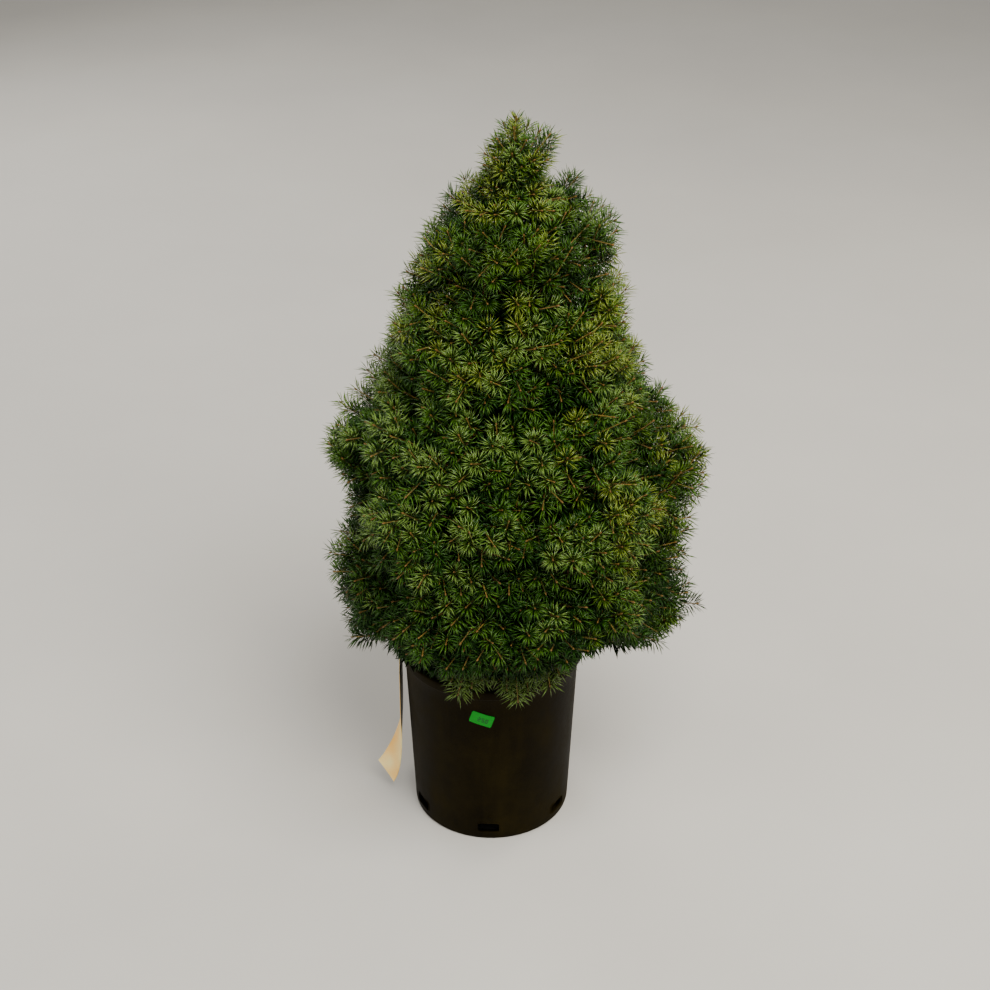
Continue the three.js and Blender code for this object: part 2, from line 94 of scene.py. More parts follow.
class Whorl(NamedTuple):
    """One whorl of limbs: its name, the height where its first limb leaves the trunk and in which
    direction, each limb's reach, their radius, the lift of their foliage, the branchlets in each row of
    a mass, and whether its limbs are boughs of their own in the solids."""

    name: str
    leave: float
    turn: float
    reach: tuple
    limb: float
    lift: float
    rows: tuple
    has_bough: bool


WHORLS = (
    Whorl("skirt", 249, 12, (0.98, 1, 0.97, 0.98, 1.02, 0.97, 1), 4.2, -24, (3, 2), True),
    Whorl("low", 297, 38, (1.02, 0.98, 1, 0.98, 1, 1.03, 1.02), 4.4, 8, (2, 3, 2), True),
    Whorl("middle", 369, 3, (1.06, 1, 1.01, 0.93, 1.02, 0.98), 4.2, 20, (2, 3, 2), True),
    Whorl("shoulder", 448, 20, (1.04, 1, 1.03, 1, 0.97), 3.6, 30, (2, 3, 2), False),
    Whorl("upper", 538, -8, (1.07, 1, 1.04, 1), 3.2, 36, (2, 3, 2), False),
    Whorl("high", 645, 8, (1.14, 0.97, 1), 2.8, 44, (3, 3, 2), False),
)
STAGGER_STEP = 3
STAGGER_RISE = 22
CORE_DRAWS = 28

# How a mass lies on its bough and bulges, and where its branchlets stand, as in the solids' source.
STEM_END = 0.9
STEM_TAPER = 0.3
STEM_BEND = 1.25
STEM_SHORT = 23.0
BULGE = 0.03
FALL_BESIDE = 0.1
FALL_ABOVE = 0.06
FACE_ACROSS = 0.66
FACE_UP = 0.6
FACE_STRAY = 0.05
FACE_FAN = 26.0
ROOT_INNER = 0.56
ROOT_OUTER = 0.8

# The crown's lumps that the photograph shows, each as a direction in degrees and a height,
# and the distance between the lumps that go on round the back.
FRONT_LUMPS = (
    (180, 482), (0, 474), (-5, 739), (-8, 652), (178, 735), (-175, 640), (-178, 560), (-172, 350),
    (-8, 385), (-99, 730), (-66, 733), (-150, 722), (-110, 679), (-145, 647), (-76, 667), (-44, 626),
    (-96, 616), (-122, 607), (-20, 582), (-40, 575), (-103, 555), (-122, 517), (-78, 536), (-47, 494),
    (-133, 464), (-97, 490), (-40, 454), (-72, 442), (-118, 413), (-147, 340), (-104, 379), (-78, 376),
    (-47, 356), (-51, 405), (-146, 410), (-152, 530), (-120, 325), (-90, 318), (-60, 300), (-150, 275),
    (-104, 268), (-74, 266),
)
LUMP_ROWS = (270, 345, 420, 495, 570, 640, 705, 760)
LUMP_SPACING = 86.0
LUMP_RADIUS = 50.0
LUMP_STANDS = 4.0

# Where the photograph shows the crown fuller or slimmer than its outline: direction in degrees, height,
# how far it stands out and how wide it swells.
SWELLS = (
    (180, 486, 18, 24), (180, 585, -13, 36), (180, 534, -26, 20), (180, 665, -5, 26), (0, 258, 24, 32),
    (-5, 725, 7, 18), (-5, 758, -19, 14), (0, 646, -8, 24), (0, 562, 5, 22), (180, 746, -27, 18),
    (180, 215, -16, 22), (0, 699, -12, 13), (180, 438, -12, 14), (180, 631, -9, 14), (0, 276, 10, 14),
    (0, 508, -13, 14), (180, 530, -10, 14),
)

# Swells that stand out this far are lobes, and get more shoots, at these depths inside the swell and
# spread over this share of its width.
LOBE_REACH = 18
LOBE_SHOOTS = 34
LOBE_DEPTHS = (18.0, 38.0)
LOBE_SPREAD = 0.75
# How far in and down from its tip each of these shoots forks, how much it points up, and its freshness,
# lowered as painted shade inside the lobe.
LOBE_FORK = (50.0, 12.0)
LOBE_LIFT = 0.35
LOBE_SHADE = (-1.4, 0.1)

# Under the skirt the foliage keeps above a cone: its height at the pot's rim, and its rise outwards.
SKIRT_FLOOR = (222.0, 0.75)
# It hangs lower than the cone at the plant's right and left, and lies higher between them and the front
# and back. Each pair is for the right and the left half, and the swings say where out from the trunk the
# rise and the hang begin and how far on they are full.
SKIRT_HANGS = (62.0, 34.0)
SKIRT_RISES = (36.0, 27.0)
SKIRT_SWINGS = ((104.0, 30.0), (124.0, 62.0))
# At the front it parts over the pot: in which direction, how high and how wide in radians.
SKIRT_PARTS = -93.0
SKIRT_PARTING = 20.0
SKIRT_PART_WIDE = 0.35
# A few sprays droop over the pot, each with its direction, distance out and height.
DROOPING_SPRAYS = (
    (-84, 139, 237), (-110, 147, 246), (-71, 146, 258), (95, 140, 232), (62, 148, 240), (130, 146, 236),
)
# Each of these sprays' shoots: degrees aside, and millimetres further back and up than its end.
DROOPING_SHOOTS = (
    (0, 0, 0), (9, 16, 13), (-9, 20, 17), (1, 22, 16), (7, 36, 28), (-7, 40, 32), (5, 7, 8), (-5, 10, 9),
)

# How far back and up from their tips they fork, how much they point down and stray, how many more and how
# much longer needles they have, and how much lighter their tint is at least and how much more at most, as
# painted light on sprays that hang in shade.
DROOPING_FORK = (34.0, 24.0)
DROOPING_FALL = 0.8
DROOPING_STRAY = 0.15
DROOPING_NEEDLES = 10
DROOPING_LONG = 1.15
DROOPING_PAINTED_LIGHT = (0.3, 1.0)

# The rings of shoots that hang under the lowest whorl, the distance between the shoots of a ring, the
# height at which the crown's outline bounds them, how far inside it they stay, and how high over the
# skirt's lower face their tips are.
UNDERSIDE_RINGS = (84.0, 108.0, 132.0, 156.0, 180.0)
UNDERSIDE_SPACING = 24.0
UNDERSIDE_LEVEL = 244.0
UNDERSIDE_INSIDE = 10.0
UNDERSIDE_TIPS = (6.0, 22.0)
# How much they point down and stray, and their freshness, lowered as painted shade under the whorl.
UNDERSIDE_FALL = 0.3
UNDERSIDE_STRAY = 0.35
UNDERSIDE_SHADE = (-1.3, -0.5)

# How far in towards the trunk the deepest shoots lie, as a share of the crown's radius.
DEEPEST = 0.62

# How a shoot's axis leans between the face's own direction and its whorl's habit.
AXIS_BY_FACE = 0.55
AXIS_BY_HABIT = 0.45
# Painted shade that darkens the shoots' tints: in the crevices between lumps, and above and below these
# heights, each with how far on that is full and how much it is at most. A shoot that points up gets a
# lighter tint.
SHADE_IN_CREVICES = 0.5
SHADE_HIGH = (640.0, 220.0, 0.6)
SHADE_LOW = (430.0, 230.0, 0.95)
LIGHTER_BY_LIFT = 0.35

# How shoots are set over a face: the distance between rows as a share of that between shoots, how far
# every other row is shifted, how far shoots stray across and up, and how far in or out.
ROW_STEP = 0.87
ROW_SHIFT = 0.25
STRAY_ACROSS = 0.62
STRAY_UP = 0.6
STRAY_IN = (-4.0, 7.0)
# The shortest shoot as a share of the usual length, how much more the longest has, and the stray of their
# freshness.
SHOOT_SHORTEST = 0.8
SHOOT_MORE = 0.7
FRESH_STRAY = 0.3
# The lengths of the shoots under the skirt and in the lobes, as shares of the usual length.
INNER_LENGTHS = (0.8, 1.1)

# How high over the skirt's lower face the limbs, and the forks and branchlets, keep.
LIMB_CLEARANCE = 12
FORK_CLEARANCE = 14

# Radii along each branchlet's two ends, each fork, each twig and each bud, where a twig's rings lie as
# shares of it, and where a bud's lie beyond the twig's tip.
BRANCHLET_RADII = (2.1, 1.25)
FORK_RADII = (1.2, 1.1, 1.0, 0.95)
TWIG_RADII = (0.75, 0.65, 0.5)
TWIG_SHARES = (-0.08, 0.5, 1.0)
BUD_RADII = (0.55, 1.05, 0.85, 0.05)
BUD_STEPS = (-0.6, 1.0, 2.6, 3.9)

# Where along a needle it is widest, how far its back stands off its keel in half widths, how much needles
# turn up, and what light does in their wax.
NEEDLE_WIDEST = 0.6
NEEDLE_BACK = 0.9
NEEDLE_RISE = 0.12
NEEDLE_IOR = 1.35
# How needles crowd towards a shoot's tip, and the curve on which their lean changes along it, its stray in
# degrees and their twist's in radians.
NEEDLE_CROWD = 0.85
LEAN_CURVE = 2.2
LEAN_STRAY = 9
TWIST_STRAY = 0.7
# How far their turns stray in radians, how much shorter the last needles are, what share of its length the
# first one has, and the spread of lengths and widths.
TURN_STRAY = 0.25
NEEDLE_LAST = 0.22
NEEDLE_FIRST = 0.72
NEEDLE_LENGTHS = (0.82, 1.1)
NEEDLE_WIDTHS = (0.85, 1.15)

# The leader's shoots: direction in degrees, distance out, height and lift of each tip. Then the rings of
# shoots below them: height, how many, lift, depth inside the outline and freshness, lowered in the deeper
# rings as painted shade.
LEADER_SHOOTS = (
    (0, 0, 845, 88), (-100, 8, 836, 74), (150, 12, 835, 68), (30, 15, 834, 66), (80, 11, 838, 72),
    (-50, 17, 825, 58), (-150, 19, 825, 56), (100, 19, 825, 58), (-5, 34, 827, 54), (12, 40, 820, 44),
    (-95, 20, 814, 48), (55, 24, 814, 48), (150, 23, 815, 46), (-140, 24, 808, 38), (-40, 26, 806, 42),
    (180, 27, 806, 38), (-70, 23, 801, 34), (120, 26, 804, 38), (-115, 26, 798, 30), (25, 31, 804, 38),
    (-165, 28, 797, 26), (-15, 28, 795, 28), (-90, 25, 790, 22), (60, 28, 797, 30), (95, 27, 792, 26),
    (10, 25, 829, 62), (4, 36, 811, 42), (-14, 34, 803, 34), (22, 35, 797, 30), (-40, 30, 796, 30),
)
LEADER_RINGS = (
    (760, 16, 14, 22, 0), (772, 13, 24, 32, 0), (788, 11, 30, 31, 0), (768, 9, 34, 32, -2.4),
    (784, 7, 44, 28, -2.4), (806, 5, 56, 20, -2.4), (742, 12, 40, 40, -2.4),
)

# Sprays that stand in the sun, high in the crown and at its right, are dealt a warmer tint: where the sun
# begins and how far on it is full, how many of the sprays it reaches at most, and what it does to a tint.
SUN_HEIGHT = (590.0, 170.0)
SUN_SIDE = (70.0, 100.0)
SUN_MOST = 0.75
SUN_WARMS = (1.26, 1.0, 0.62)

# How far the halves of a shoot stray from its freshness, which also holds painted light and shade.
HALF_STRAY = 0.12

# The tints that the sprays are dealt, from the oldest and darkest in painted shade to the freshest and
# lightest, each with its gloss and its share of the sprays. The shade deep in the crown, under it and in
# its crevices is painted into this order, and so is the light on the drooping sprays.
NEEDLE_TINTS = (
    ("deep", (0.0006, 0.0032, 0.0003), 0.0, 0.19),
    ("shade", (0.0012, 0.0063, 0.0004), 0.1, 0.19),
    ("forest", (0.0032, 0.016, 0.0005), 0.4, 0.2),
    ("bluish", (0.0095, 0.042, 0.0018), 0.8, 0.13),
    ("green", (0.021, 0.072, 0.0026), 1.0, 0.12),
    ("bright", (0.052, 0.128, 0.009), 1.2, 0.1),
    ("yellow", (0.125, 0.212, 0.034), 1.5, 0.07),
)

# The pot: its height, its radii at the foot, the top and the rim, and how thick it is.
POT_HEIGHT = 220.0
POT_FOOT_RADIUS = 90.0
POT_TOP_RADIUS = 100.0
POT_RIM_RADIUS = 104.0
POT_WALL = 2.0
POT_FLOOR = 3.0
# How round the rim's roll, its inner edge and the foot are, where the roll begins, and the heights of the
# wall's rings outside and inside.
RIM_ROLL = 2.4
RIM_LIP = 1.6
FOOT_ROUND = 3.2
RIM_UNDER = 207.0
WALL_HEIGHTS = (4.0, 10.0, 24.0, 42.0, 70.0, 100.0, 130.0, 160.0, 190.0, 206.0)
INNER_HEIGHTS = (200.0, 150.0, 100.0, 50.0, 6.0)
# Edges sharper than this stay sharp, in degrees.
POT_SHARP = 38.0
# The drain slots: how many, the first one's direction in degrees, their heights, width and corners, and how
# far in from the wall the mix keeps clear of them.
SLOT_COUNT = 6
SLOT_TURN = -92.3
SLOT_LOW = 10.5
SLOT_HIGH = 23.5
SLOT_WIDTH = 25.0
SLOT_CORNER = 3.2
SLOT_HOLLOW = 11.0
# The length of the bar that cuts a slot, and the fine lip round it: how far outside the slot and off the
# wall its middle runs, and its radius.
SLOT_BAR = 24.0
LIP_OUTSIDE = 0.5
LIP_OFF = 0.1
LIP_RADIUS = 0.7
# The moulded dot: its place round the pot from the front and its height, and its radius at each step off
# the wall.
DOT_PLACE = (-1.5, 33.0)
DOT_STEPS = (-0.6, 0.3, 0.7, 0.72)
DOT_RADII = (2.6, 2.6, 2.0, 0.01)

# The potting mix: its height in the middle and at the wall, how far it keeps off the wall and the floor,
# and its lumps, by how fine and how high each kind is.
SOIL_TOP = 196.0
SOIL_EDGE = 190.0
SOIL_OFF_WALL = 0.6
SOIL_OFF_FLOOR = 0.5
SOIL_LUMPS = ((0.11, 2.2), (0.4, 1.1))
# The bark chips on it: how far out they lie, half their size, and their faces over eight corners, which
# count up their sides in the third, second and first direction.
CHIPS_REACH = 94.0
CHIP_SIZE = (4.5, 2.4, 0.9)
CHIP_FACES = ((0, 1, 3, 2), (4, 6, 7, 5), (0, 4, 5, 1), (2, 3, 7, 6), (0, 2, 6, 4), (1, 5, 7, 3))

# The label on the pot's wall: its size, where its middle is round from the front in degrees and how high,
# its slant in degrees, and how round its corners are.
LABEL_WIDTH = 26.0
LABEL_HEIGHT = 16.0
LABEL_ROUND = -6.3
LABEL_MIDDLE = 179.0
LABEL_SLANT = -18.0
LABEL_CORNER = 1.4
# How far the film's two faces and the ink's stand off the wall.
FILM_OFF = (0.45, 0.62)
INK_OFF = (0.6, 0.72)
# The digits, their distance from each other, the middle of the second one, their size, and half the width
# of their lines.
DIGITS = "250"
DIGIT_STEP = 4.4
DIGIT_MIDDLE = (1.6, -0.8)
DIGIT_SIZE = (1.05, 1.2)
DIGIT_LINE = 0.45

# The tag over the rim: each station's middle, the direction of its width and its width.
TAG_STATIONS = (
    ((-95.7, 0, 205), (0, 1, 0), 7),
    ((-96.2, 0, 219.6), (0, 1, 0), 7),
    ((-97.4, 0, 220.8), (0, 1, 0), 7),
    ((-103.6, 0, 220.8), (0, 1, 0), 7),
    ((-104.8, 0, 219.6), (0, 1, 0), 7),
    ((-104.8, 0, 198), (0.3, 0.95, 0), 7),
    ((-104.8, 0, 190), (0.18, 0.98, 0), 12),
    ((-104.8, 0, 182), (0.09, 1, 0), 27),
    ((-104.8, 0, 176), (0.07, 1, 0), 31.6),
    ((-105.2, 0, 118), (0.05, 1, 0), 31.6),
    ((-106.7, 0, 92), (-0.1, 0.97, 0.12), 31.6),
    ((-111.7, 0, 64), (-0.3, 0.87, 0.32), 31.6),
    ((-118.7, -1, 43), (-0.48, 0.7, 0.5), 31.6),
    ((-125.7, -1.5, 30), (-0.59, 0.54, 0.6), 31.6),
)
TAG_ROWS = 120
TAG_COLUMNS = 13
TAG_HALF_THICK = 0.3
# How far the blade's middle stands out, the width from which it does, and how much wider it is where
# it does in full.
TAG_CUP = 0.8
TAG_CUPPED = (20.0, 11.0)
TAG_SHARP = 50.0

# The photograph's camera, in metres and degrees.
CAMERA_PLACE = (0.004, -1.943, 1.573)
CAMERA_TILT = 59.14
CAMERA_LENS = 50.0
CAMERA_SENSOR = 24.0

# The floor, a wide disc in millimetres, and the round lights, in metres: each one's name, the setting of
# its power, its width, its place and its tint.
FLOOR_RADIUS = 9000.0
FLOOR_SIDES = 96
LIGHTS = (
    ("key_light", "key", 2.1, (0.8, -1.5, 2.75), (1.0, 0.97, 0.88)),
    ("fill_light", "fill", 1.6, (-1.9, -0.9, 1.2), (1.0, 0.99, 0.96)),
    ("rim_light", "rim", 0.9, (1.5, 1.3, 1.6), (1.0, 0.93, 0.8)),
    ("back_light", "back", 1.8, (-1.3, 2.1, 1.5), (1.0, 0.98, 0.93)),
)
LIGHTS_AIM = (0.0, 0.0, 0.4)
SKY_TINT = (1.0, 0.98, 0.92)


class Link:
    """A shader graph's socket, on which Python's arithmetic adds Math nodes."""

    def __init__(self, graph, socket):
        self.graph = graph
        self.socket = socket

    def math(self, operation, first, second):
        """A Math node's result."""
        return self.graph.node("ShaderNodeMath", {"operation": operation}, {0: first, 1: second})

    def __add__(self, other):
        return self.math("ADD", self, other)

    def __sub__(self, other):
        return self.math("SUBTRACT", self, other)

    def __rsub__(self, other):
        return self.math("SUBTRACT", other, self)

    def __mul__(self, other):
        return self.math("MULTIPLY", self, other)

    __radd__ = __add__
    __rmul__ = __mul__


class Graph:
    """A material's nodes, made by one method and named looks built on it."""

    def __init__(self, name):
        self.material = bpy.data.materials.new(name)
        self.material.use_nodes = True
        self.tree = self.material.node_tree
        self.tree.nodes.clear()

    def node(self, kind, settings=None, inputs=None, output=0):
        """A new node with its settings and its sockets' values or links, given as one output's link."""
        made = self.tree.nodes.new(kind)
        for key, value in (settings or {}).items():
            setattr(made, key, value)
        for key, value in (inputs or {}).items():
            if isinstance(value, Link):
                self.tree.links.new(value.socket, made.inputs[key])
            else:
                made.inputs[key].default_value = value
        return Link(self, made.outputs[output]) if made.outputs else None

    def place(self):
        """The place on the piece, in metres."""
        return self.node("ShaderNodeTexCoord", output="Object")

    def height(self):
        """The height above the ground, in metres."""
        return self.node("ShaderNodeSeparateXYZ", inputs={0: self.place()}, output="Z")

    def stretched(self, x, y, z):
        """The place with each axis scaled, for grain that is drawn out."""
        inputs = {0: self.place(), 1: (x, y, z)}
        return self.node("ShaderNodeVectorMath", {"operation": "MULTIPLY"}, inputs)

    def grain(self, scale, detail=3.0, roughness=0.55, vector=None):
        """Cloudy noise from 0 to 1."""
        vector = vector or self.place()
        inputs = {"Scale": scale, "Detail": detail, "Roughness": roughness, "Vector": vector}
        return self.node("ShaderNodeTexNoise", inputs=inputs)

    def cells(self, scale, vector=None):
        """The distance from the middle of the nearest cell."""
        inputs = {"Scale": scale, "Vector": vector or self.place()}
        return self.node("ShaderNodeTexVoronoi", inputs=inputs)

    def between(self, value, low, high):
        """A value taken from the range low to high to 0 to 1, and held there."""
        settings = {"clamp": True}
        return self.node("ShaderNodeMapRange", settings, {0: value, 1: low, 2: high, 3: 0.0, 4: 1.0})

    def blend(self, factor, first, second):
        """The second colour over the first one."""
        inputs = {0: factor, 6: colour(first), 7: colour(second)}
        return self.node("ShaderNodeMix", {"data_type": "RGBA"}, inputs, output=2)

    def bump(self, height, distance, strength=1.0):
        """A normal for fine relief of a height in metres."""
        inputs = {"Height": height, "Distance": distance, "Strength": strength}
        return self.node("ShaderNodeBump", inputs=inputs)

    def finish(self, **looks):
        """The material, with the shader's sockets set by name."""
        inputs = {key.replace("_", " "): colour(value) for key, value in looks.items()}
        shader = self.node("ShaderNodeBsdfPrincipled", inputs=inputs)
        self.node("ShaderNodeOutputMaterial", inputs={"Surface": shader})
        return self.material


def colour(value):
    """A three-part colour with its alpha, and anything else as it is."""
    if isinstance(value, (Link, float)):
        return value
    return (*value, 1.0) if len(value) == 3 else value


def pot_plastic(settings):
    """Black plastic under a film of dust, with runs, specks and splashes near the ground."""
    graph = Graph("pot_plastic")
    film = graph.between(graph.grain(16.0, 8.0, 0.68), 0.4, 0.72)
    runs = graph.between(graph.grain(40.0, 4.0, 0.6, graph.stretched(1.0, 1.0, 0.12)), 0.48, 0.75)
    specks = graph.between(graph.grain(420.0, 2.0), 0.62, 0.74)
    low = 1.0 - graph.between(graph.height(), 0.0, 0.05)
    dust = film * 0.55 + runs * 0.3 + specks * 0.25 + low * film * 0.25
    dust = graph.between(dust, 0.0, 1.1)
    pebble = graph.grain(900.0, 2.0) * 0.4 + graph.grain(60.0, 3.0) * 0.6
    return graph.finish(
        Base_Color=graph.blend(dust, settings.plastic, settings.dust),
        Specular_IOR_Level=0.2,
        Specular_Tint=(1.0, 0.72, 0.36),
        IOR=1.25,
        Roughness=dust * 0.3 + 0.55,
        Normal=graph.bump(pebble, 0.0006),
    )


def potting_mix():
    """Dark moist mix, drier and paler at the top, with chips of bark."""
    graph = Graph("potting_mix")
    patches = graph.between(graph.grain(38.0, 5.0), 0.35, 0.68)
    chips = graph.between(graph.grain(170.0, 4.0), 0.3, 0.7)
    dry = graph.between(graph.height(), 0.15, 0.19)
    earth = graph.blend(patches * dry, (0.006, 0.004, 0.0025), (0.07, 0.042, 0.024))
    return graph.finish(
        Base_Color=graph.blend(chips * dry * 0.5, earth, (0.14, 0.085, 0.045)),
        Roughness=0.95 - chips * 0.15,
        Normal=graph.bump(chips + graph.grain(600.0), 0.0012),
    )


def rough_bark():
    """Brown scaly bark with a little lichen."""
    graph = Graph("rough_bark")
    along = graph.stretched(1.0, 1.0, 0.35)
    scales = graph.between(graph.cells(260.0, along), 0.1, 0.6)
    lichen = graph.between(graph.grain(30.0, 5.0), 0.52, 0.72)
    brown = graph.blend(scales, (0.02, 0.01, 0.004), (0.075, 0.04, 0.017))
    return graph.finish(
        Base_Color=graph.blend(lichen * 0.3, brown, (0.11, 0.085, 0.045)),
        Specular_IOR_Level=0.15,
        Roughness=0.92 - lichen * 0.1,
        Normal=graph.bump(scales + graph.grain(500.0, 4.0), 0.0014),
    )


def twig_skin(settings):
    """The straw-coloured skin of young twigs."""
    graph = Graph("twig_skin")
    shade = graph.between(graph.grain(55.0, 4.0), 0.35, 0.68)
    pegs = graph.grain(900.0, 2.0)
    return graph.finish(
        Base_Color=graph.blend(shade, settings.twig_dark, settings.twig_light),
        Roughness=0.75 - shade * 0.12,
        Normal=graph.bump(pegs, 0.0004),
    )


def bud_scales(settings):
    """Overlapping brown scales of a resting bud."""
    graph = Graph("bud_scales")
    rings = graph.between(graph.cells(1400.0), 0.15, 0.55)
    return graph.finish(
        Base_Color=graph.blend(rings, (0.1, 0.045, 0.01), settings.bud),
        Roughness=0.6 - rings * 0.12,
        Normal=graph.bump(rings, 0.0004),
    )


def label_film():
    """Green printed film, a little worn."""
    graph = Graph("label_film")
    worn = graph.between(graph.grain(160.0, 5.0), 0.42, 0.75)
    return graph.finish(
        Base_Color=graph.blend(worn * 0.35, (0.0, 0.24, 0.012), (0.006, 0.34, 0.03)),
        Specular_IOR_Level=0.15,
        Roughness=worn * 0.2 + 0.6,
        Normal=graph.bump(graph.grain(500.0), 0.0002),
    )


def label_ink():
    """Dark green ink, faded in patches."""
    graph = Graph("label_ink")
    faded = graph.between(graph.grain(700.0, 3.0), 0.35, 0.7)
    ink = graph.blend(faded, (0.0, 0.014, 0.003), (0.0, 0.05, 0.006))
    return graph.finish(Base_Color=ink, Roughness=0.7)


def tag_back():
    """The tag's pale side: cream painted brighter and warmer as sunlight on it, in random blotches from
    orange to pale yellow.
    """
    graph = Graph("tag_back")
    warm_blotches = graph.between(graph.grain(15.0, 3.0), 0.4, 0.64)
    return graph.finish(
        # Both colours are brighter and more orange than the cream plastic, as painted sunlight.
        Base_Color=graph.blend(warm_blotches, (1.0, 0.56, 0.12), (1.0, 0.84, 0.38)),
        Roughness=warm_blotches * 0.15 + 0.4,
        Normal=graph.bump(graph.grain(300.0), 0.0002),
    )


def tag_print():
    """The tag's printed side, in plain dark patches."""
    graph = Graph("tag_print")
    patches = graph.between(graph.grain(45.0, 2.0), 0.42, 0.6)
    return graph.finish(
        Base_Color=graph.blend(patches, (0.045, 0.03, 0.012), (0.11, 0.085, 0.03)),
        Roughness=patches * 0.1 + 0.4,
        Normal=graph.bump(graph.grain(300.0), 0.0002),
    )


def pale_floor(settings):
    """Matt studio floor with a faint unevenness."""
    graph = Graph("pale_floor")
    tone = graph.between(graph.grain(3.0, 5.0), 0.3, 0.75)
    dark = tuple(0.94 * part for part in settings.floor)
    return graph.finish(Base_Color=graph.blend(tone, dark, settings.floor), Roughness=0.9)


def needle_wax(name, tint, gloss, settings):
    """One tint of needle under its skin of wax, which fresh needles have more of."""
    graph = Graph(name)
    return graph.finish(
        Base_Color=tint,
        Roughness=settings.roughness + 0.3 * (1 - gloss),
        Specular_IOR_Level=settings.wax * gloss,
        IOR=NEEDLE_IOR,
    )


def in_mm(length):
    """A setting's length in metres as millimetres, clean of the last digits that it is stored with."""
    return round(length / MM, 3)


def mix(first, second, share):
    """What lies at a share of the way from the first value to the second."""
    return first + (second - first) * share


def unit(vectors):
    """The vectors at a length of one."""
    return vectors / np.linalg.norm(vectors, axis=-1, keepdims=True)


def seeded(seed):
    """The same small source of random numbers from 0 to 1 as the solids' source has."""
    state = (seed + 1) * 2654435761 & 0xFFFFFFFF

    def draw():
        nonlocal state
        state = (state * 1664525 + 1013904223) & 0xFFFFFFFF
        return state / 4294967296

    return draw


def trunk_line(height):
    """The trunk's middle at each height, and on above its tip to the crown's top."""
    height = np.asarray(height, float)
    share = (height - TRUNK_FOOT) / (CROWN_TOP - TRUNK_FOOT)
    swing = TRUNK_SWAY * np.sin(2 * math.pi * share)
    x = TRUNK_FOOT_AT[0] + TRUNK_LEAN[0] * share + swing
    y = TRUNK_FOOT_AT[1] + TRUNK_LEAN[1] * share - swing
    return np.stack([x, y, height], axis=-1)


def crown_place(direction, outwards, height):
    """A place from its direction about the trunk's line, its distance out and its height."""
    flat = np.stack([np.cos(direction), np.sin(direction), np.zeros_like(direction)], axis=-1)
    return trunk_line(height) + flat * np.asarray(outwards)[..., None]


def parting(index, outwards):
    """The height of a parting between whorls, at each distance out from the trunk."""
    height, rise = PARTINGS[index]
    return height + rise * outwards


def lump_middles():
    """The middles of the crown's lumps on its outline: the photograph's and those round the back."""
    places = [(math.radians(direction), height) for direction, height in FRONT_LUMPS]
    rng = np.random.default_rng(41)
    for number, height in enumerate(LUMP_ROWS):
        count = round(2 * math.pi * np.interp(height, OUTLINE_HEIGHTS, OUTLINE_RADII) / LUMP_SPACING)
        for i in range(count):
            direction = 2 * math.pi * (i + 0.5 * (number % 2) + rng.uniform(-0.2, 0.2)) / count
            if -5 < math.degrees(direction) % 360 < 195:
                places.append((direction, height + rng.uniform(-12, 12)))
    direction, height = np.array(places).T
    return crown_place(direction, np.interp(height, OUTLINE_HEIGHTS, OUTLINE_RADII), height)


LUMPS = lump_middles()


def reach_more(direction, height):
    """How many millimetres out of its outline the crown stands at each direction and height."""
    more = 0
    for middle, level, reach, wide in SWELLS:
        turn = np.angle(np.exp(1j * (direction - math.radians(middle))))
        aside = turn * np.interp(level, OUTLINE_HEIGHTS, OUTLINE_RADII)
        more = more + reach * np.exp(-(aside**2 + (height - level) ** 2) / (2 * wide**2))
    return more


def billow(places):
    """How far each place lies from the top of its lump: 0 on top and 1 in the crevices between lumps."""
    away = np.linalg.norm(places[:, None] - LUMPS[None], axis=-1).min(axis=1)
    return np.clip(away / LUMP_RADIUS, 0, 1.25) ** 2


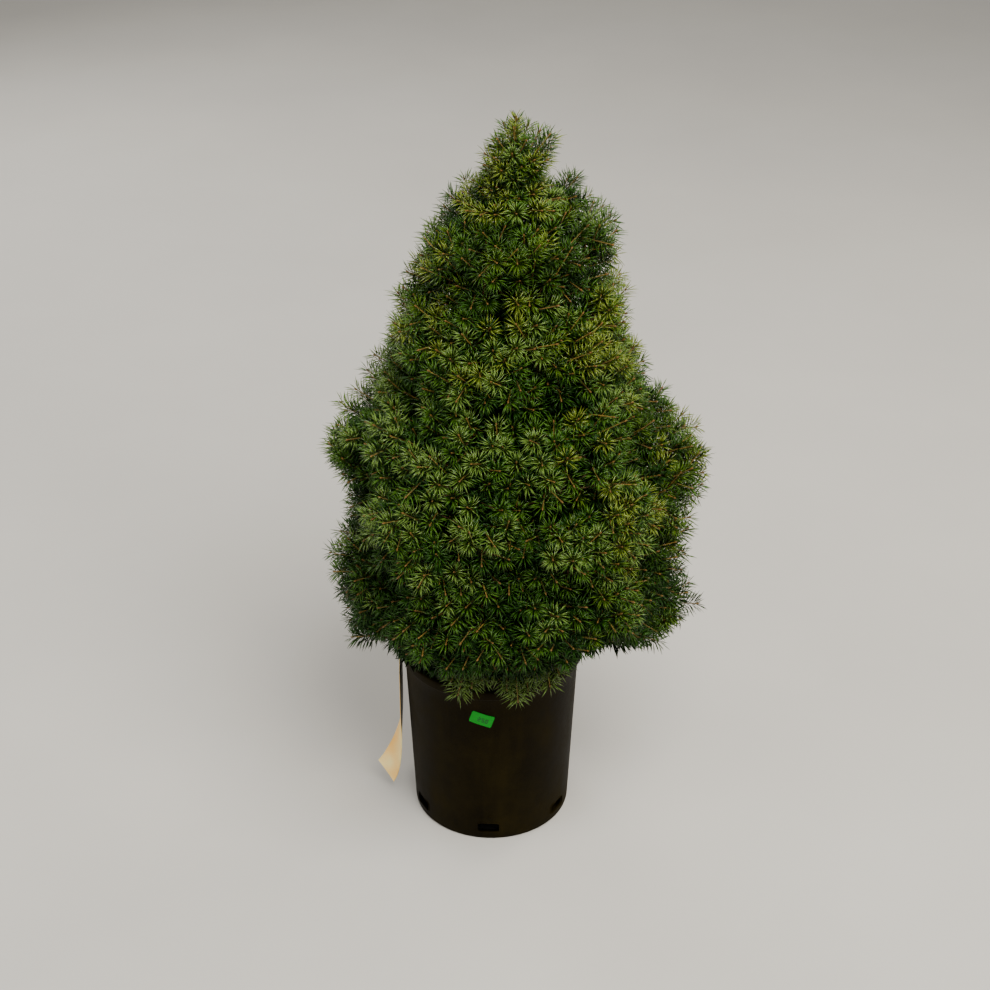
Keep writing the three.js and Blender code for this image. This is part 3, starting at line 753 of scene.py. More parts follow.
class Mass:
    """One mass of foliage, in its own wedge of the crown."""

    def __init__(self, level, number):
        self.whorl = WHORLS[level]
        boughs = len(self.whorl.reach)
        self.name = f"{self.whorl.name}_{number + 1}"
        self.level = level
        self.seed = 100 * level + 11 * number
        self.reach = self.whorl.reach[number]
        self.leave = self.whorl.leave + STAGGER_RISE * ((number * STAGGER_STEP) % boughs) / boughs
        self.direction = math.radians(self.whorl.turn + 360 * number / boughs)
        self.half_angle = math.pi / boughs

    def room_place(self, across, up, outwards):
        """A place in the mass's room: across its wedge, up between its cones, and out from the trunk."""
        height = mix(parting(self.level, outwards), parting(self.level + 1, outwards), (up + 1) / 2)
        return crown_place(self.direction + across * self.half_angle, outwards, height)

    def face_radius(self, across, up):
        """How far out the mass's bulging face lies, found by coming closer to the outline step by step."""
        bulge = 1 + BULGE - FALL_BESIDE * across**2 - FALL_ABOVE * up**2
        outwards = np.interp(self.leave, OUTLINE_HEIGHTS, OUTLINE_RADII) + 0 * across
        for _ in range(8):
            height = self.room_place(across, up, outwards)[..., 2]
            reach = np.interp(height, OUTLINE_HEIGHTS, OUTLINE_RADII) * bulge * self.reach
            outwards = mix(outwards, reach, 0.6)
        return outwards

    def face_place(self, across, up, depth, swell):
        """A place on the mass's face, sunk between the crown's lumps, or a depth inside it."""
        across = np.asarray(across, float)
        outwards = self.face_radius(across, up)
        if swell:
            place = self.room_place(across, up, outwards)
            outwards = outwards + LUMP_STANDS - swell * billow(place)
            outwards = outwards + reach_more(self.direction + across * self.half_angle, place[..., 2])
        return self.room_place(across, up, outwards - depth)

    def face_normal(self, across, up, swell):
        """The direction in which the mass's face looks."""
        step = 0.05
        beside = self.face_place(across + step, up, 0, swell)
        beside = beside - self.face_place(across - step, up, 0, swell)
        above = self.face_place(across, up + step, 0, swell)
        above = above - self.face_place(across, up - step, 0, swell)
        return unit(np.cross(beside, above))

    def stem_line(self, share):
        """The middle line of the bough and stem, from the trunk's line to the furthest sprays."""
        share = np.asarray(share, float)[..., None]
        start = trunk_line(self.leave)
        end = self.face_place(0.0, 0.0, STEM_SHORT, 0.0)
        line = mix(start, end, share)
        line[..., 2:] = mix(start[2], end[2], share**STEM_BEND)
        return line

    def branchlets(self):
        """Where the mass's branchlets reach its face, across it and up it, as the solids' sprays do."""
        draw = seeded(self.seed)
        for _ in range(CORE_DRAWS):
            draw()
        places = []
        rows = self.whorl.rows
        widest = max(rows)
        for row, count in enumerate(rows):
            for i in range(count):
                across = FACE_ACROSS * ((2 * i + widest - count) / (widest - 1) - 1)
                up = FACE_UP * (2 * row / (len(rows) - 1) - 1)
                across += FACE_STRAY * (2 * draw() - 1)
                up += FACE_STRAY * (2 * draw() - 1)
                draw()
                draw()
                places.append((across, up))
        return np.array(places)


def all_masses():
    """Every mass of foliage, whorl by whorl from the skirt up."""
    masses = []
    for level, whorl in enumerate(WHORLS):
        masses += [Mass(level, number) for number in range(len(whorl.reach))]
    return masses


class Shoots:
    """Every young shoot of the crown, as lists that grow and then become arrays."""

    FIELDS = ("fork", "heading", "tip", "axis", "length", "needles", "wide", "long", "fresh", "hangs")

    def __init__(self):
        self.parts = {field: [] for field in self.FIELDS}

    def add(self, **values):
        """Takes in some shoots: an array for each field, or one value that all of them share."""
        count = len(values["tip"])
        for field, value in (("wide", 1.0), ("long", 1.0), ("hangs", False)):
            values.setdefault(field, value)
        for field in self.FIELDS:
            value = np.asarray(values[field])
            self.parts[field].append(np.full(count, value) if value.ndim == 0 else value)

    def close(self):
        """Makes arrays of the fields and leaves out the shoots that hang too low."""
        for field in self.FIELDS:
            setattr(self, field, np.concatenate(self.parts[field]))
        self.base = self.tip - self.axis * self.length[:, None]
        self.fork = above_skirt(self.fork, FORK_CLEARANCE)
        clear = (self.tip[:, 2] > skirt_floor(self.tip)) & (self.base[:, 2] > POT_HEIGHT + 3)
        clear |= self.hangs
        for field in (*self.FIELDS, "base"):
            setattr(self, field, getattr(self, field)[clear])
        return self


def skirt_floor(places):
    """The lowest height of the foliage under or over each place."""
    height, rise = SKIRT_FLOOR
    outwards = np.hypot(places[:, 0], places[:, 1])
    lifted, hung = (np.clip((outwards - start) / over, 0, 1) for start, over in SKIRT_SWINGS)
    direction = np.arctan2(places[:, 1], places[:, 0])
    at_right = np.cos(direction) > 0
    lift = np.where(at_right, *SKIRT_RISES) * np.sin(2 * direction) ** 2
    parted = SKIRT_PARTING * np.exp(-(((direction - math.radians(SKIRT_PARTS)) / SKIRT_PART_WIDE) ** 2))
    hang = np.where(at_right, *SKIRT_HANGS) * np.cos(direction) ** 4
    cone = height + rise * np.maximum(outwards - POT_RIM_RADIUS, 0)
    return cone + lifted * lift - hung * hang + parted


def above_skirt(places, clearance):
    """The places, with those lifted that lie too low to be hidden in the skirt's foliage."""
    flat = places.reshape(-1, 3).copy()
    flat[:, 2] = np.maximum(flat[:, 2], skirt_floor(flat) + clearance)
    return flat.reshape(places.shape)


def brick_lattice(mass, spacing, rng):
    """Places over a mass's face, set like bricks at a spacing, each a little astray."""
    across = []
    up = []
    edges = mass.face_place(np.zeros(2), np.array([-1.0, 1.0]), 0, 0)
    tall = np.linalg.norm(edges[1] - edges[0])
    rows = max(2, round(tall / (ROW_STEP * spacing)))
    for row in range(rows):
        level = 2 * (row + 0.5) / rows - 1
        wide = 2 * mass.half_angle * float(mass.face_radius(np.float64(0), level))
        count = max(2, round(wide / spacing))
        shift = ROW_SHIFT if row % 2 else -ROW_SHIFT
        places = 2 * (np.arange(count) + 0.5 + shift) / count - 1
        across.append(places + rng.uniform(-STRAY_ACROSS, STRAY_ACROSS, count) / count)
        up.append(level + rng.uniform(-STRAY_UP, STRAY_UP, count) / rows)
    return np.concatenate(across), np.concatenate(up)


def random_directions(rng, count):
    """Directions that point anywhere, none more likely than another."""
    return unit(rng.normal(size=(count, 3)))


def painted_shade_at(places):
    """How much painted shade darkens the shoots' tints at each place."""
    height = places[:, 2]
    high = np.clip((height - SHADE_HIGH[0]) / SHADE_HIGH[1], 0, SHADE_HIGH[2])
    low = np.clip((SHADE_LOW[0] - height) / SHADE_LOW[1], 0, SHADE_LOW[2])
    return SHADE_IN_CREVICES * billow(places) + high + low


def grow_layer(shoots, mass, rng, settings, layer):
    """One layer of shoots over a mass's face, forked from the branchlets nearest to them."""
    swell = in_mm(settings.swell)
    shoot = in_mm(settings.shoot)
    across, up = brick_lattice(mass, layer.spacing, rng)
    count = len(across)
    deepest = DEEPEST * mass.face_radius(np.float64(0), 0.0)
    depth = min(layer.depth, deepest)
    tip = mass.face_place(across, up, depth + rng.uniform(*STRAY_IN, count), swell)
    normal = mass.face_normal(across, up, swell)
    lift = np.radians(mass.whorl.lift + FACE_FAN * up)
    flat = unit((tip - trunk_line(tip[:, 2])) * (1, 1, 0))
    habit = flat * np.cos(lift)[:, None] + UP * np.sin(lift)[:, None]
    stray = settings.stray * random_directions(rng, count)
    axis = unit(AXIS_BY_FACE * normal + AXIS_BY_HABIT * habit + stray)
    places = mass.branchlets()
    away = np.hypot(across[:, None] - places[None, :, 0], 0.8 * (up[:, None] - places[None, :, 1]))
    nearest = places[np.argmin(away, axis=1)]
    inside = min(shoot + in_mm(settings.fork) + depth, deepest + 20)
    # The tint's rank falls with painted shade in the crevices and high and low in the crown, and rises
    # where the shoot points up.
    fresh = layer.fresh + LIGHTER_BY_LIFT * axis[:, 2] - painted_shade_at(tip)
    shoots.add(
        fork=mass.face_place(nearest[:, 0], nearest[:, 1], inside, 0),
        heading=mass.face_normal(nearest[:, 0], nearest[:, 1], 0),
        tip=tip,
        axis=axis,
        length=shoot * (SHOOT_SHORTEST + SHOOT_MORE * rng.uniform(0, 1, count) ** 2),
        needles=layer.needles,
        wide=layer.wide,
        fresh=fresh + rng.uniform(-FRESH_STRAY, FRESH_STRAY, count),
    )


def grow_underside(shoots, mass, rng, settings):
    """The shoots that hang under the lowest whorl."""
    for outwards in UNDERSIDE_RINGS:
        count = max(2, round(2 * mass.half_angle * outwards / UNDERSIDE_SPACING))
        across = 2 * (np.arange(count) + rng.uniform(0.2, 0.8, count)) / count - 1
        direction = mass.direction + across * mass.half_angle
        low = np.full(count, UNDERSIDE_LEVEL)
        widest = np.interp(low, OUTLINE_HEIGHTS, OUTLINE_RADII) + reach_more(direction, low)
        widest -= UNDERSIDE_INSIDE
        place = np.minimum(outwards + rng.uniform(-8, 8, count), widest)
        tip = crown_place(direction, place, low)
        tip[:, 2] = skirt_floor(tip) + rng.uniform(*UNDERSIDE_TIPS, count)
        flat = unit((tip - trunk_line(tip[:, 2])) * (1, 1, 0))
        shoots.add(
            fork=mass.stem_line(np.minimum(0.85, outwards / 200 + rng.uniform(-0.12, 0.12, count))),
            heading=flat,
            tip=tip,
            axis=unit(flat - UNDERSIDE_FALL * UP + UNDERSIDE_STRAY * random_directions(rng, count)),
            length=in_mm(settings.shoot) * rng.uniform(*INNER_LENGTHS, count),
            needles=settings.inner_needles,
            wide=1.2,
            fresh=rng.uniform(*UNDERSIDE_SHADE, count),
        )


def grow_lobes(shoots, rng, settings):
    """More shoots just under the face of each lobe that stands out furthest from the crown."""
    for middle, level, reach, wide in SWELLS:
        if reach < LOBE_REACH:
            continue
        height = level + rng.normal(0, LOBE_SPREAD * wide, LOBE_SHOOTS)
        radius = np.interp(height, OUTLINE_HEIGHTS, OUTLINE_RADII)
        direction = math.radians(middle) + rng.normal(0, LOBE_SPREAD * wide, LOBE_SHOOTS) / radius
        outwards = radius + reach_more(direction, height) - rng.uniform(*LOBE_DEPTHS, LOBE_SHOOTS)
        tip = crown_place(direction, outwards, height)
        flat = unit((tip - trunk_line(tip[:, 2])) * (1, 1, 0))
        shoots.add(
            fork=crown_place(direction, outwards - LOBE_FORK[0], height - LOBE_FORK[1]),
            heading=flat,
            tip=tip,
            axis=unit(flat + LOBE_LIFT * UP + settings.stray * random_directions(rng, LOBE_SHOOTS)),
            length=in_mm(settings.shoot) * rng.uniform(*INNER_LENGTHS, LOBE_SHOOTS),
            needles=settings.inner_needles,
            wide=1.15,
            fresh=rng.uniform(*LOBE_SHADE, LOBE_SHOOTS),
        )


def grow_drooping(shoots, rng, settings):
    """The few sprays that droop over the pot, each with shoots at its end, beside it and behind it."""
    for direction, outwards, height in DROOPING_SPRAYS:
        for aside, back, up in DROOPING_SHOOTS:
            turn = math.radians(direction + aside)
            flat = np.array([[math.cos(turn), math.sin(turn), 0.0]])
            tip = crown_place(np.array([turn]), np.array([outwards - back]), np.array([height + up]))
            behind = np.array([outwards - back - DROOPING_FORK[0]])
            above = np.array([height + up + DROOPING_FORK[1]])
            shoots.add(
                fork=crown_place(np.radians([direction]), behind, above),
                heading=flat,
                tip=tip,
                axis=unit(flat - DROOPING_FALL * UP + DROOPING_STRAY * random_directions(rng, 1)),
                length=np.array([in_mm(settings.shoot)]),
                needles=settings.outer_needles + DROOPING_NEEDLES,
                long=DROOPING_LONG,
                hangs=True,
                fresh=DROOPING_PAINTED_LIGHT[0] + rng.uniform(0, DROOPING_PAINTED_LIGHT[1]),
            )


def grow_leader(shoots, rng, settings):
    """The crown's last shoots, round an upright one at the top, and the rings below them."""
    for direction, outwards, height, lift in LEADER_SHOOTS:
        turn = np.array([math.radians(direction)])
        rise = math.radians(lift)
        flat = np.stack([np.cos(turn), np.sin(turn), 0 * turn], axis=-1)
        shoots.add(
            fork=trunk_line([height - 24 - 0.8 * outwards]),
            heading=unit(flat + 2 * UP),
            tip=crown_place(turn, outwards, np.array([height])),
            axis=unit(flat * math.cos(rise) + UP * math.sin(rise)),
            length=np.array([20.0 + 0.1 * outwards]),
            needles=settings.outer_needles,
            long=0.74 + 0.006 * outwards,
            fresh=rng.uniform(-0.7, 0.3),
        )
    for height, count, lift, depth, fresh in LEADER_RINGS:
        turn = 2 * math.pi * (np.arange(count) + rng.uniform(-0.25, 0.25, count)) / count + height
        rise = np.radians(lift + rng.uniform(-12, 12, count))
        reach = np.interp(height, OUTLINE_HEIGHTS, OUTLINE_RADII) * rng.uniform(0.9, 1.0, count) - depth
        place = height + rng.uniform(-5, 5, count)
        flat = np.stack([np.cos(turn), np.sin(turn), 0 * turn], axis=-1)
        shoots.add(
            fork=trunk_line(place - 20 - 0.25 * reach),
            heading=unit(flat + UP),
            tip=crown_place(turn, reach, place),
            axis=unit(flat * np.cos(rise)[:, None] + UP * np.sin(rise)[:, None]),
            length=21 * rng.uniform(0.85, 1.1, count),
            needles=settings.outer_needles,
            wide=1.0 if fresh == 0 else 1.6,
            long=0.9,
            fresh=fresh + rng.uniform(-FRESH_STRAY, FRESH_STRAY, count),
        )


class Layer(NamedTuple):
    """One layer of shoots in a mass: its spacing, depth, needles, their width and its freshness, lowered in
    the inner layers as painted shade.
    """

    spacing: float
    depth: float
    needles: int
    wide: float
    fresh: float


def grow_crown(settings):
    """Every shoot of the crown: an outer layer on each mass, darker ones inside it as painted shade, and
    the leader's.
    """
    shoots = Shoots()
    outer = settings.outer_needles
    inner = settings.inner_needles
    deep = in_mm(settings.deep_spacing)
    # The inner layers' lower freshness deals them the darkest tints, as painted shade inside the crown.
    layers = (
        Layer(spacing=in_mm(settings.spacing), depth=4.0, needles=outer, wide=1.0, fresh=0.0),
        Layer(spacing=in_mm(settings.inner_spacing), depth=16.0, needles=inner, wide=1.5, fresh=-1.7),
        Layer(spacing=deep, depth=46.0, needles=inner, wide=2.2, fresh=-2.8),
        Layer(spacing=deep, depth=72.0, needles=inner, wide=2.4, fresh=-3.4),
        Layer(spacing=1.2 * deep, depth=105.0, needles=inner, wide=2.6, fresh=-3.8),
    )
    for mass in all_masses():
        rng = np.random.default_rng(mass.seed + 17)
        for layer in layers:
            grow_layer(shoots, mass, rng, settings, layer)
        if mass.level == 0:
            grow_underside(shoots, mass, rng, settings)
    grow_lobes(shoots, np.random.default_rng(19), settings)
    grow_drooping(shoots, np.random.default_rng(7), settings)
    grow_leader(shoots, np.random.default_rng(5), settings)
    return shoots.close()


def cross_axes(axis):
    """Two directions square to each axis and to each other."""
    reference = np.where(np.abs(axis[..., 2:]) < 0.9, UP, np.array([1.0, 0.0, 0.0]))
    across = unit(np.cross(reference, axis))
    return across, np.cross(axis, across)


def needles_on(shoots, number, settings, rng):
    """One shoot's needles: their roots, directions, twists, lengths, widths and share along the shoot."""
    count = int(shoots.needles[number])
    share = ((np.arange(count) + rng.uniform(0, 1, count)) / count) ** NEEDLE_CROWD
    turn = GOLDEN_TURN * np.arange(count) + rng.uniform(-TURN_STRAY, TURN_STRAY, count)
    lean = mix(settings.lean_base, settings.lean_tip, share**LEAN_CURVE)
    lean += np.radians(rng.uniform(-LEAN_STRAY, LEAN_STRAY, count))
    axis = shoots.axis[number]
    across, over = cross_axes(axis)
    round_it = np.cos(turn)[:, None] * across + np.sin(turn)[:, None] * over
    direction = unit(axis * np.cos(lean)[:, None] + round_it * np.sin(lean)[:, None] + NEEDLE_RISE * UP)
    length = in_mm(settings.needle) * shoots.long[number] * (1 - NEEDLE_LAST * share**3)
    length *= rng.uniform(*NEEDLE_LENGTHS, count)
    length *= np.clip(NEEDLE_FIRST + 2 * share, 0, 1)
    root = shoots.base[number] + axis * (shoots.length[number] * share)[:, None]
    twist = rng.uniform(-TWIST_STRAY, TWIST_STRAY, count)
    width = in_mm(settings.width) * shoots.wide[number] * rng.uniform(*NEEDLE_WIDTHS, count)
    return root, direction, twist, length, width, share


def needle_mesh(name, root, direction, twist, length, width):
    """Closed needles of four faces: a straight keel from root to point under two sides of a bent back."""
    count = len(root)
    across, over = cross_axes(direction)
    across, over = (
        across * np.cos(twist)[:, None] + over * np.sin(twist)[:, None],
        over * np.cos(twist)[:, None] - across * np.sin(twist)[:, None],
    )
    middle = root + direction * (NEEDLE_WIDEST * length)[:, None] + over * (NEEDLE_BACK * width)[:, None]
    side = across * width[:, None]
    point = root + direction * length[:, None]
    corners = np.stack([root, middle - side, middle + side, point], axis=1).reshape(-1, 3)
    pattern = np.array([(0, 2, 1), (3, 1, 2), (0, 1, 3), (0, 3, 2)])
    faces = (pattern[None] + 4 * np.arange(count)[:, None, None]).reshape(-1, 3)
    return mesh_of(name, corners, faces, smooth=True)


def mesh_of(name, corners, faces, smooth=False):
    """A mesh from corners in millimetres and an array of faces of equal count of sides."""
    mesh = bpy.data.meshes.new(name)
    count, sides = faces.shape
    mesh.vertices.add(len(corners))
    mesh.vertices.foreach_set("co", (np.asarray(corners) * MM).astype(np.float32).ravel())
    mesh.loops.add(count * sides)
    mesh.loops.foreach_set("vertex_index", faces.astype(np.int32).ravel())
    mesh.polygons.add(count)
    mesh.polygons.foreach_set("loop_start", np.arange(0, count * sides, sides, dtype=np.int32))
    mesh.polygons.foreach_set("use_smooth", np.full(count, smooth))
    mesh.update(calc_edges=True)
    mesh.validate()
    return mesh


def tube_parts(paths, radii, sides):
    """Round limbs along paths: their corners, and faces of four sides."""
    limbs, rings = paths.shape[:2]
    run = unit(np.gradient(paths, axis=1))
    across = unit(np.cross(np.array([0.31, 0.17, 0.93]), run))
    over = np.cross(run, across)
    angle = np.arange(sides) * 2 * math.pi / sides
    outward = across[:, :, None] * np.cos(angle)[:, None] + over[:, :, None] * np.sin(angle)[:, None]
    corners = paths[:, :, None] + outward * radii[:, :, None, None]
    start = np.arange(limbs)[:, None, None] * rings * sides + np.arange(rings - 1)[None, :, None] * sides
    here = np.arange(sides)[None, None]
    beside = (here + 1) % sides
    after = start + sides
    faces = np.stack([start + here, start + beside, after + beside, after + here], axis=-1)
    return corners.reshape(-1, 3), faces.reshape(-1, 4), outward.reshape(-1, 3)


def joined(parts):
    """Several corners and faces as one of each."""
    corners = np.concatenate([part[0] for part in parts])
    starts = np.cumsum([0] + [len(part[0]) for part in parts[:-1]])
    faces = np.concatenate([part[1] + start for part, start in zip(parts, starts)])
    return corners, faces


def curved(start, heading, end, steps):
    """Smooth paths from each start, which set off along a heading and come to each end."""
    bend = start + heading * (0.5 * np.linalg.norm(end - start, axis=-1, keepdims=True))
    share = np.linspace(0, 1, steps)[None, :, None]
    first = (1 - share) ** 2 * start[:, None]
    second = 2 * share * (1 - share) * bend[:, None]
    return first + second + share**2 * end[:, None]


def add_piece(name, mesh, materials, slot, *nodes):
    """Shows a mesh as a piece of the plant: its materials and the solids that it stands for, which it
    hides. The slot is not used.
    """
    piece = bpy.data.objects.new(name, mesh)
    bpy.context.scene.collection.objects.link(piece)
    for material in materials:
        mesh.materials.append(material)
    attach(piece, "root")
    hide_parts(*nodes)
    return piece


def relief(corners, outward, depth, scale):
    """Corners pushed in and out by rough bark, drawn out along the limb."""
    moved = []
    for corner, direction in zip(corners, outward):
        place = Vector(corner) * scale
        place.z *= RELIEF_DRAWN
        ridge = 1 - 2 * abs(noise.noise(place)) + 0.5 * noise.noise(place * 3.1)
        moved.append(np.asarray(corner) + np.asarray(direction) * depth * (ridge - 0.6))
    return np.array(moved)


def wall_radius(height):
    """The pot's outer radius at a height, below its rim."""
    return mix(POT_FOOT_RADIUS, POT_TOP_RADIUS, height / POT_HEIGHT)


def turned(profile, segments):
    """A profile of radius and height turned about the upright axis: corners and faces of four sides."""
    profile = np.array(profile, float)
    angle = np.arange(segments) * 2 * math.pi / segments
    rings = np.stack(
        [
            profile[:, None, 0] * np.cos(angle),
            profile[:, None, 0] * np.sin(angle),
            np.broadcast_to(profile[:, None, 1], (len(profile), segments)),
        ],
        axis=-1,
    )
    row = np.arange(len(profile) - 1)[:, None] * segments
    here = np.arange(segments)[None]
    beside = (here + 1) % segments
    faces = np.stack([row + here, row + beside, row + segments + beside, row + segments + here], axis=-1)
    return rings.reshape(-1, 3), faces.reshape(-1, 4)


def arc(middle, radius, start, end, steps):
    """Points of a round stretch of a profile, from one angle to another in degrees."""
    angles = np.radians(np.linspace(start, end, steps))
    return [(middle[0] + radius * math.cos(a), middle[1] + radius * math.sin(a)) for a in angles]


def pot_profile():
    """The pot's outline from under its foot up its wall, round its rolled rim and down inside it."""
    wall = [(wall_radius(z), z) for z in WALL_HEIGHTS]
    roll = POT_RIM_RADIUS - RIM_ROLL
    lip = POT_TOP_RADIUS - POT_WALL + RIM_LIP
    rim = [(wall_radius(RIM_UNDER) + 0.6, RIM_UNDER + 0.4)]
    rim += arc((roll, RIM_UNDER + 1.5 * RIM_ROLL), RIM_ROLL, -80, 0, 5)
    rim += arc((roll, POT_HEIGHT - RIM_ROLL), RIM_ROLL, 0, 90, 5)
    rim += arc((lip, POT_HEIGHT - RIM_LIP), RIM_LIP, 90, 180, 4)
    inner = [(wall_radius(z) - POT_WALL, z) for z in INNER_HEIGHTS]
    inner += [(wall_radius(3) - POT_WALL - 2.5, POT_FLOOR), (0.01, POT_FLOOR)]
    foot = [(0.01, 0.0), (wall_radius(0) - 3.5, 0.0)]
    foot += arc((wall_radius(0) - FOOT_ROUND, FOOT_ROUND), FOOT_ROUND, -80, -10, 5)
    return foot + wall + rim + inner


def slot_cutter():
    """Six rounded bars that cut the drain slots, as one mesh."""
    cutter = bmesh.new()
    for number in range(SLOT_COUNT):
        bar = bmesh.new()
        bmesh.ops.create_cube(bar, size=1.0)
        size = Vector((SLOT_BAR, SLOT_WIDTH, SLOT_HIGH - SLOT_LOW)) * MM
        bmesh.ops.scale(bar, vec=size, verts=bar.verts)
        along = []
        for edge in bar.edges:
            if abs((edge.verts[0].co - edge.verts[1].co).x) > 0.5 * size.x:
                along.append(edge)
        bmesh.ops.bevel(bar, geom=along, offset=SLOT_CORNER * MM, segments=5, profile=0.5, affect="EDGES")
        middle = Vector((POT_FOOT_RADIUS, 0, (SLOT_LOW + SLOT_HIGH) / 2)) * MM
        bmesh.ops.translate(bar, vec=middle, verts=bar.verts)
        turn = math.radians(SLOT_TURN + 360 * number / SLOT_COUNT)
        bmesh.ops.rotate(bar, cent=(0, 0, 0), matrix=Matrix.Rotation(turn, 3, "Z"), verts=bar.verts)
        piece = bpy.data.meshes.new("slot_bar")
        bar.to_mesh(piece)
        bar.free()
        cutter.from_mesh(piece)
        bpy.data.meshes.remove(piece)
    mesh = bpy.data.meshes.new("slot_cutter")
    cutter.to_mesh(mesh)
    cutter.free()
    return mesh


def cut_mesh(name, body, cutter):
    """A body with a cutter's space taken out of it."""
    whole = bpy.data.objects.new("uncut", body)
    tool = bpy.data.objects.new("cutter", cutter)
    collection = bpy.context.scene.collection
    collection.objects.link(whole)
    collection.objects.link(tool)
    modifier = whole.modifiers.new("slots", "BOOLEAN")
    modifier.operation = "DIFFERENCE"
    modifier.solver = "EXACT"
    modifier.object = tool
    bpy.context.view_layer.update()
    made = bpy.data.meshes.new_from_object(whole.evaluated_get(bpy.context.evaluated_depsgraph_get()))
    made.name = name
    bpy.data.objects.remove(whole)
    bpy.data.objects.remove(tool)
    return made


def on_wall(round_mm, height, off):
    """A place on the pot's wall: how far round it from the front, how high and how far off it."""
    radius = wall_radius(height)
    angle = -math.pi / 2 + round_mm / radius
    return ((radius + off) * math.cos(angle), (radius + off) * math.sin(angle), height)


def slot_lips():
    """A fine raised lip round each slot and the small moulded dot above the front one."""
    half_wide = SLOT_WIDTH / 2 - SLOT_CORNER
    half_tall = (SLOT_HIGH - SLOT_LOW) / 2 - SLOT_CORNER
    middle = (SLOT_LOW + SLOT_HIGH) / 2
    outline = []
    for side, up, start in ((1, 1, 0), (-1, 1, 90), (-1, -1, 180), (1, -1, 270)):
        corner = (side * half_wide, middle + up * half_tall)
        outline += arc(corner, SLOT_CORNER + LIP_OUTSIDE, start, start + 90, 6)
    outline.append(outline[0])
    paths = []
    for number in range(SLOT_COUNT):
        shift = math.radians(SLOT_TURN + 90 + 360 * number / SLOT_COUNT)
        turn = np.array(Matrix.Rotation(shift, 3, "Z"))
        paths.append([turn @ np.array(on_wall(s, z, LIP_OFF)) for s, z in outline])
    paths = np.array(paths)
    lips = tube_parts(paths, np.full(paths.shape[:2], LIP_RADIUS), 8)
    dot_line = np.array([[on_wall(*DOT_PLACE, off) for off in DOT_STEPS]])
    dot = tube_parts(dot_line, np.array([DOT_RADII]), 16)
    return joined([lips, dot])


class PotSettings(bpy.types.PropertyGroup):
    """The pot's colours and detail"""

    plastic: bpy.props.FloatVectorProperty(
        name="Plastic",
        description="Colour of the pot's clean plastic",
        subtype="COLOR",
        min=0.0,
        max=1.0,
        default=(0.0025, 0.0019, 0.0005),
    )
    dust: bpy.props.FloatVectorProperty(
        name="Dust",
        description="Colour of the dried splashes and dust on the pot",
        subtype="COLOR",
        min=0.0,
        max=1.0,
        default=(0.019, 0.0142, 0.0034),
    )
    segments: bpy.props.IntProperty(
        name="Segments",
        description="Flat sides in each turn of the pot",
        default=180,
        min=24,
    )
    chips: bpy.props.IntProperty(
        name="Bark chips",
        description="Loose chips on the potting mix",
        default=900,
        min=0,
    )


class CrownSettings(bpy.types.PropertyGroup):
    """How the crown's shoots stand, and the colours of its twigs and buds"""

    spacing: bpy.props.FloatProperty(
        name="Spacing",
        description="Distance between outer shoots",
        unit="LENGTH",
        default=24.0 * MM,
        min=8.0 * MM,
        precision=4,
    )
    inner_spacing: bpy.props.FloatProperty(
        name="Inner spacing",
        description="Distance between inner shoots",
        unit="LENGTH",
        default=27.0 * MM,
        min=8.0 * MM,
        precision=4,
    )
    deep_spacing: bpy.props.FloatProperty(
        name="Deep spacing",
        description="Distance between the deepest shoots",
        unit="LENGTH",
        default=33.0 * MM,
        min=8.0 * MM,
        precision=4,
    )
    shoot: bpy.props.FloatProperty(
        name="Shoot",
        description="Length of a young shoot",
        unit="LENGTH",
        default=25.0 * MM,
        min=5.0 * MM,
        precision=4,
    )
    fork: bpy.props.FloatProperty(
        name="Fork depth",
        description="How far behind its shoots a branchlet forks",
        unit="LENGTH",
        default=20.0 * MM,
        min=1.0 * MM,
        precision=4,
    )
    swell: bpy.props.FloatProperty(
        name="Swell",
        description="How far the crown's billows stand out",
        unit="LENGTH",
        default=16.0 * MM,
        min=0.0,
        precision=4,
    )
    stray: bpy.props.FloatProperty(
        name="Stray",
        description="How far shoots stray from their habit",
        subtype="FACTOR",
        default=0.42,
        min=0.0,
        max=1.0,
    )
    outer_needles: bpy.props.IntProperty(
        name="Outer needles",
        description="Needles on each outer shoot",
        default=50,
        min=1,
    )
    inner_needles: bpy.props.IntProperty(
        name="Inner needles",
        description="Needles on each inner shoot",
        default=46,
        min=1,
    )
    twig_dark: bpy.props.FloatVectorProperty(
        name="Twig shade",
        description="Darker colour of the twigs",
        subtype="COLOR",
        min=0.0,
        max=1.0,
        default=(0.08, 0.05, 0.007),
    )
    twig_light: bpy.props.FloatVectorProperty(
        name="Twig light",
        description="Lighter colour of the twigs",
        subtype="COLOR",
        min=0.0,
        max=1.0,
        default=(0.3, 0.19, 0.028),
    )
    bud: bpy.props.FloatVectorProperty(
        name="Bud",
        description="Colour of the bud scales",
        subtype="COLOR",
        min=0.0,
        max=1.0,
        default=(0.21, 0.11, 0.018),
    )


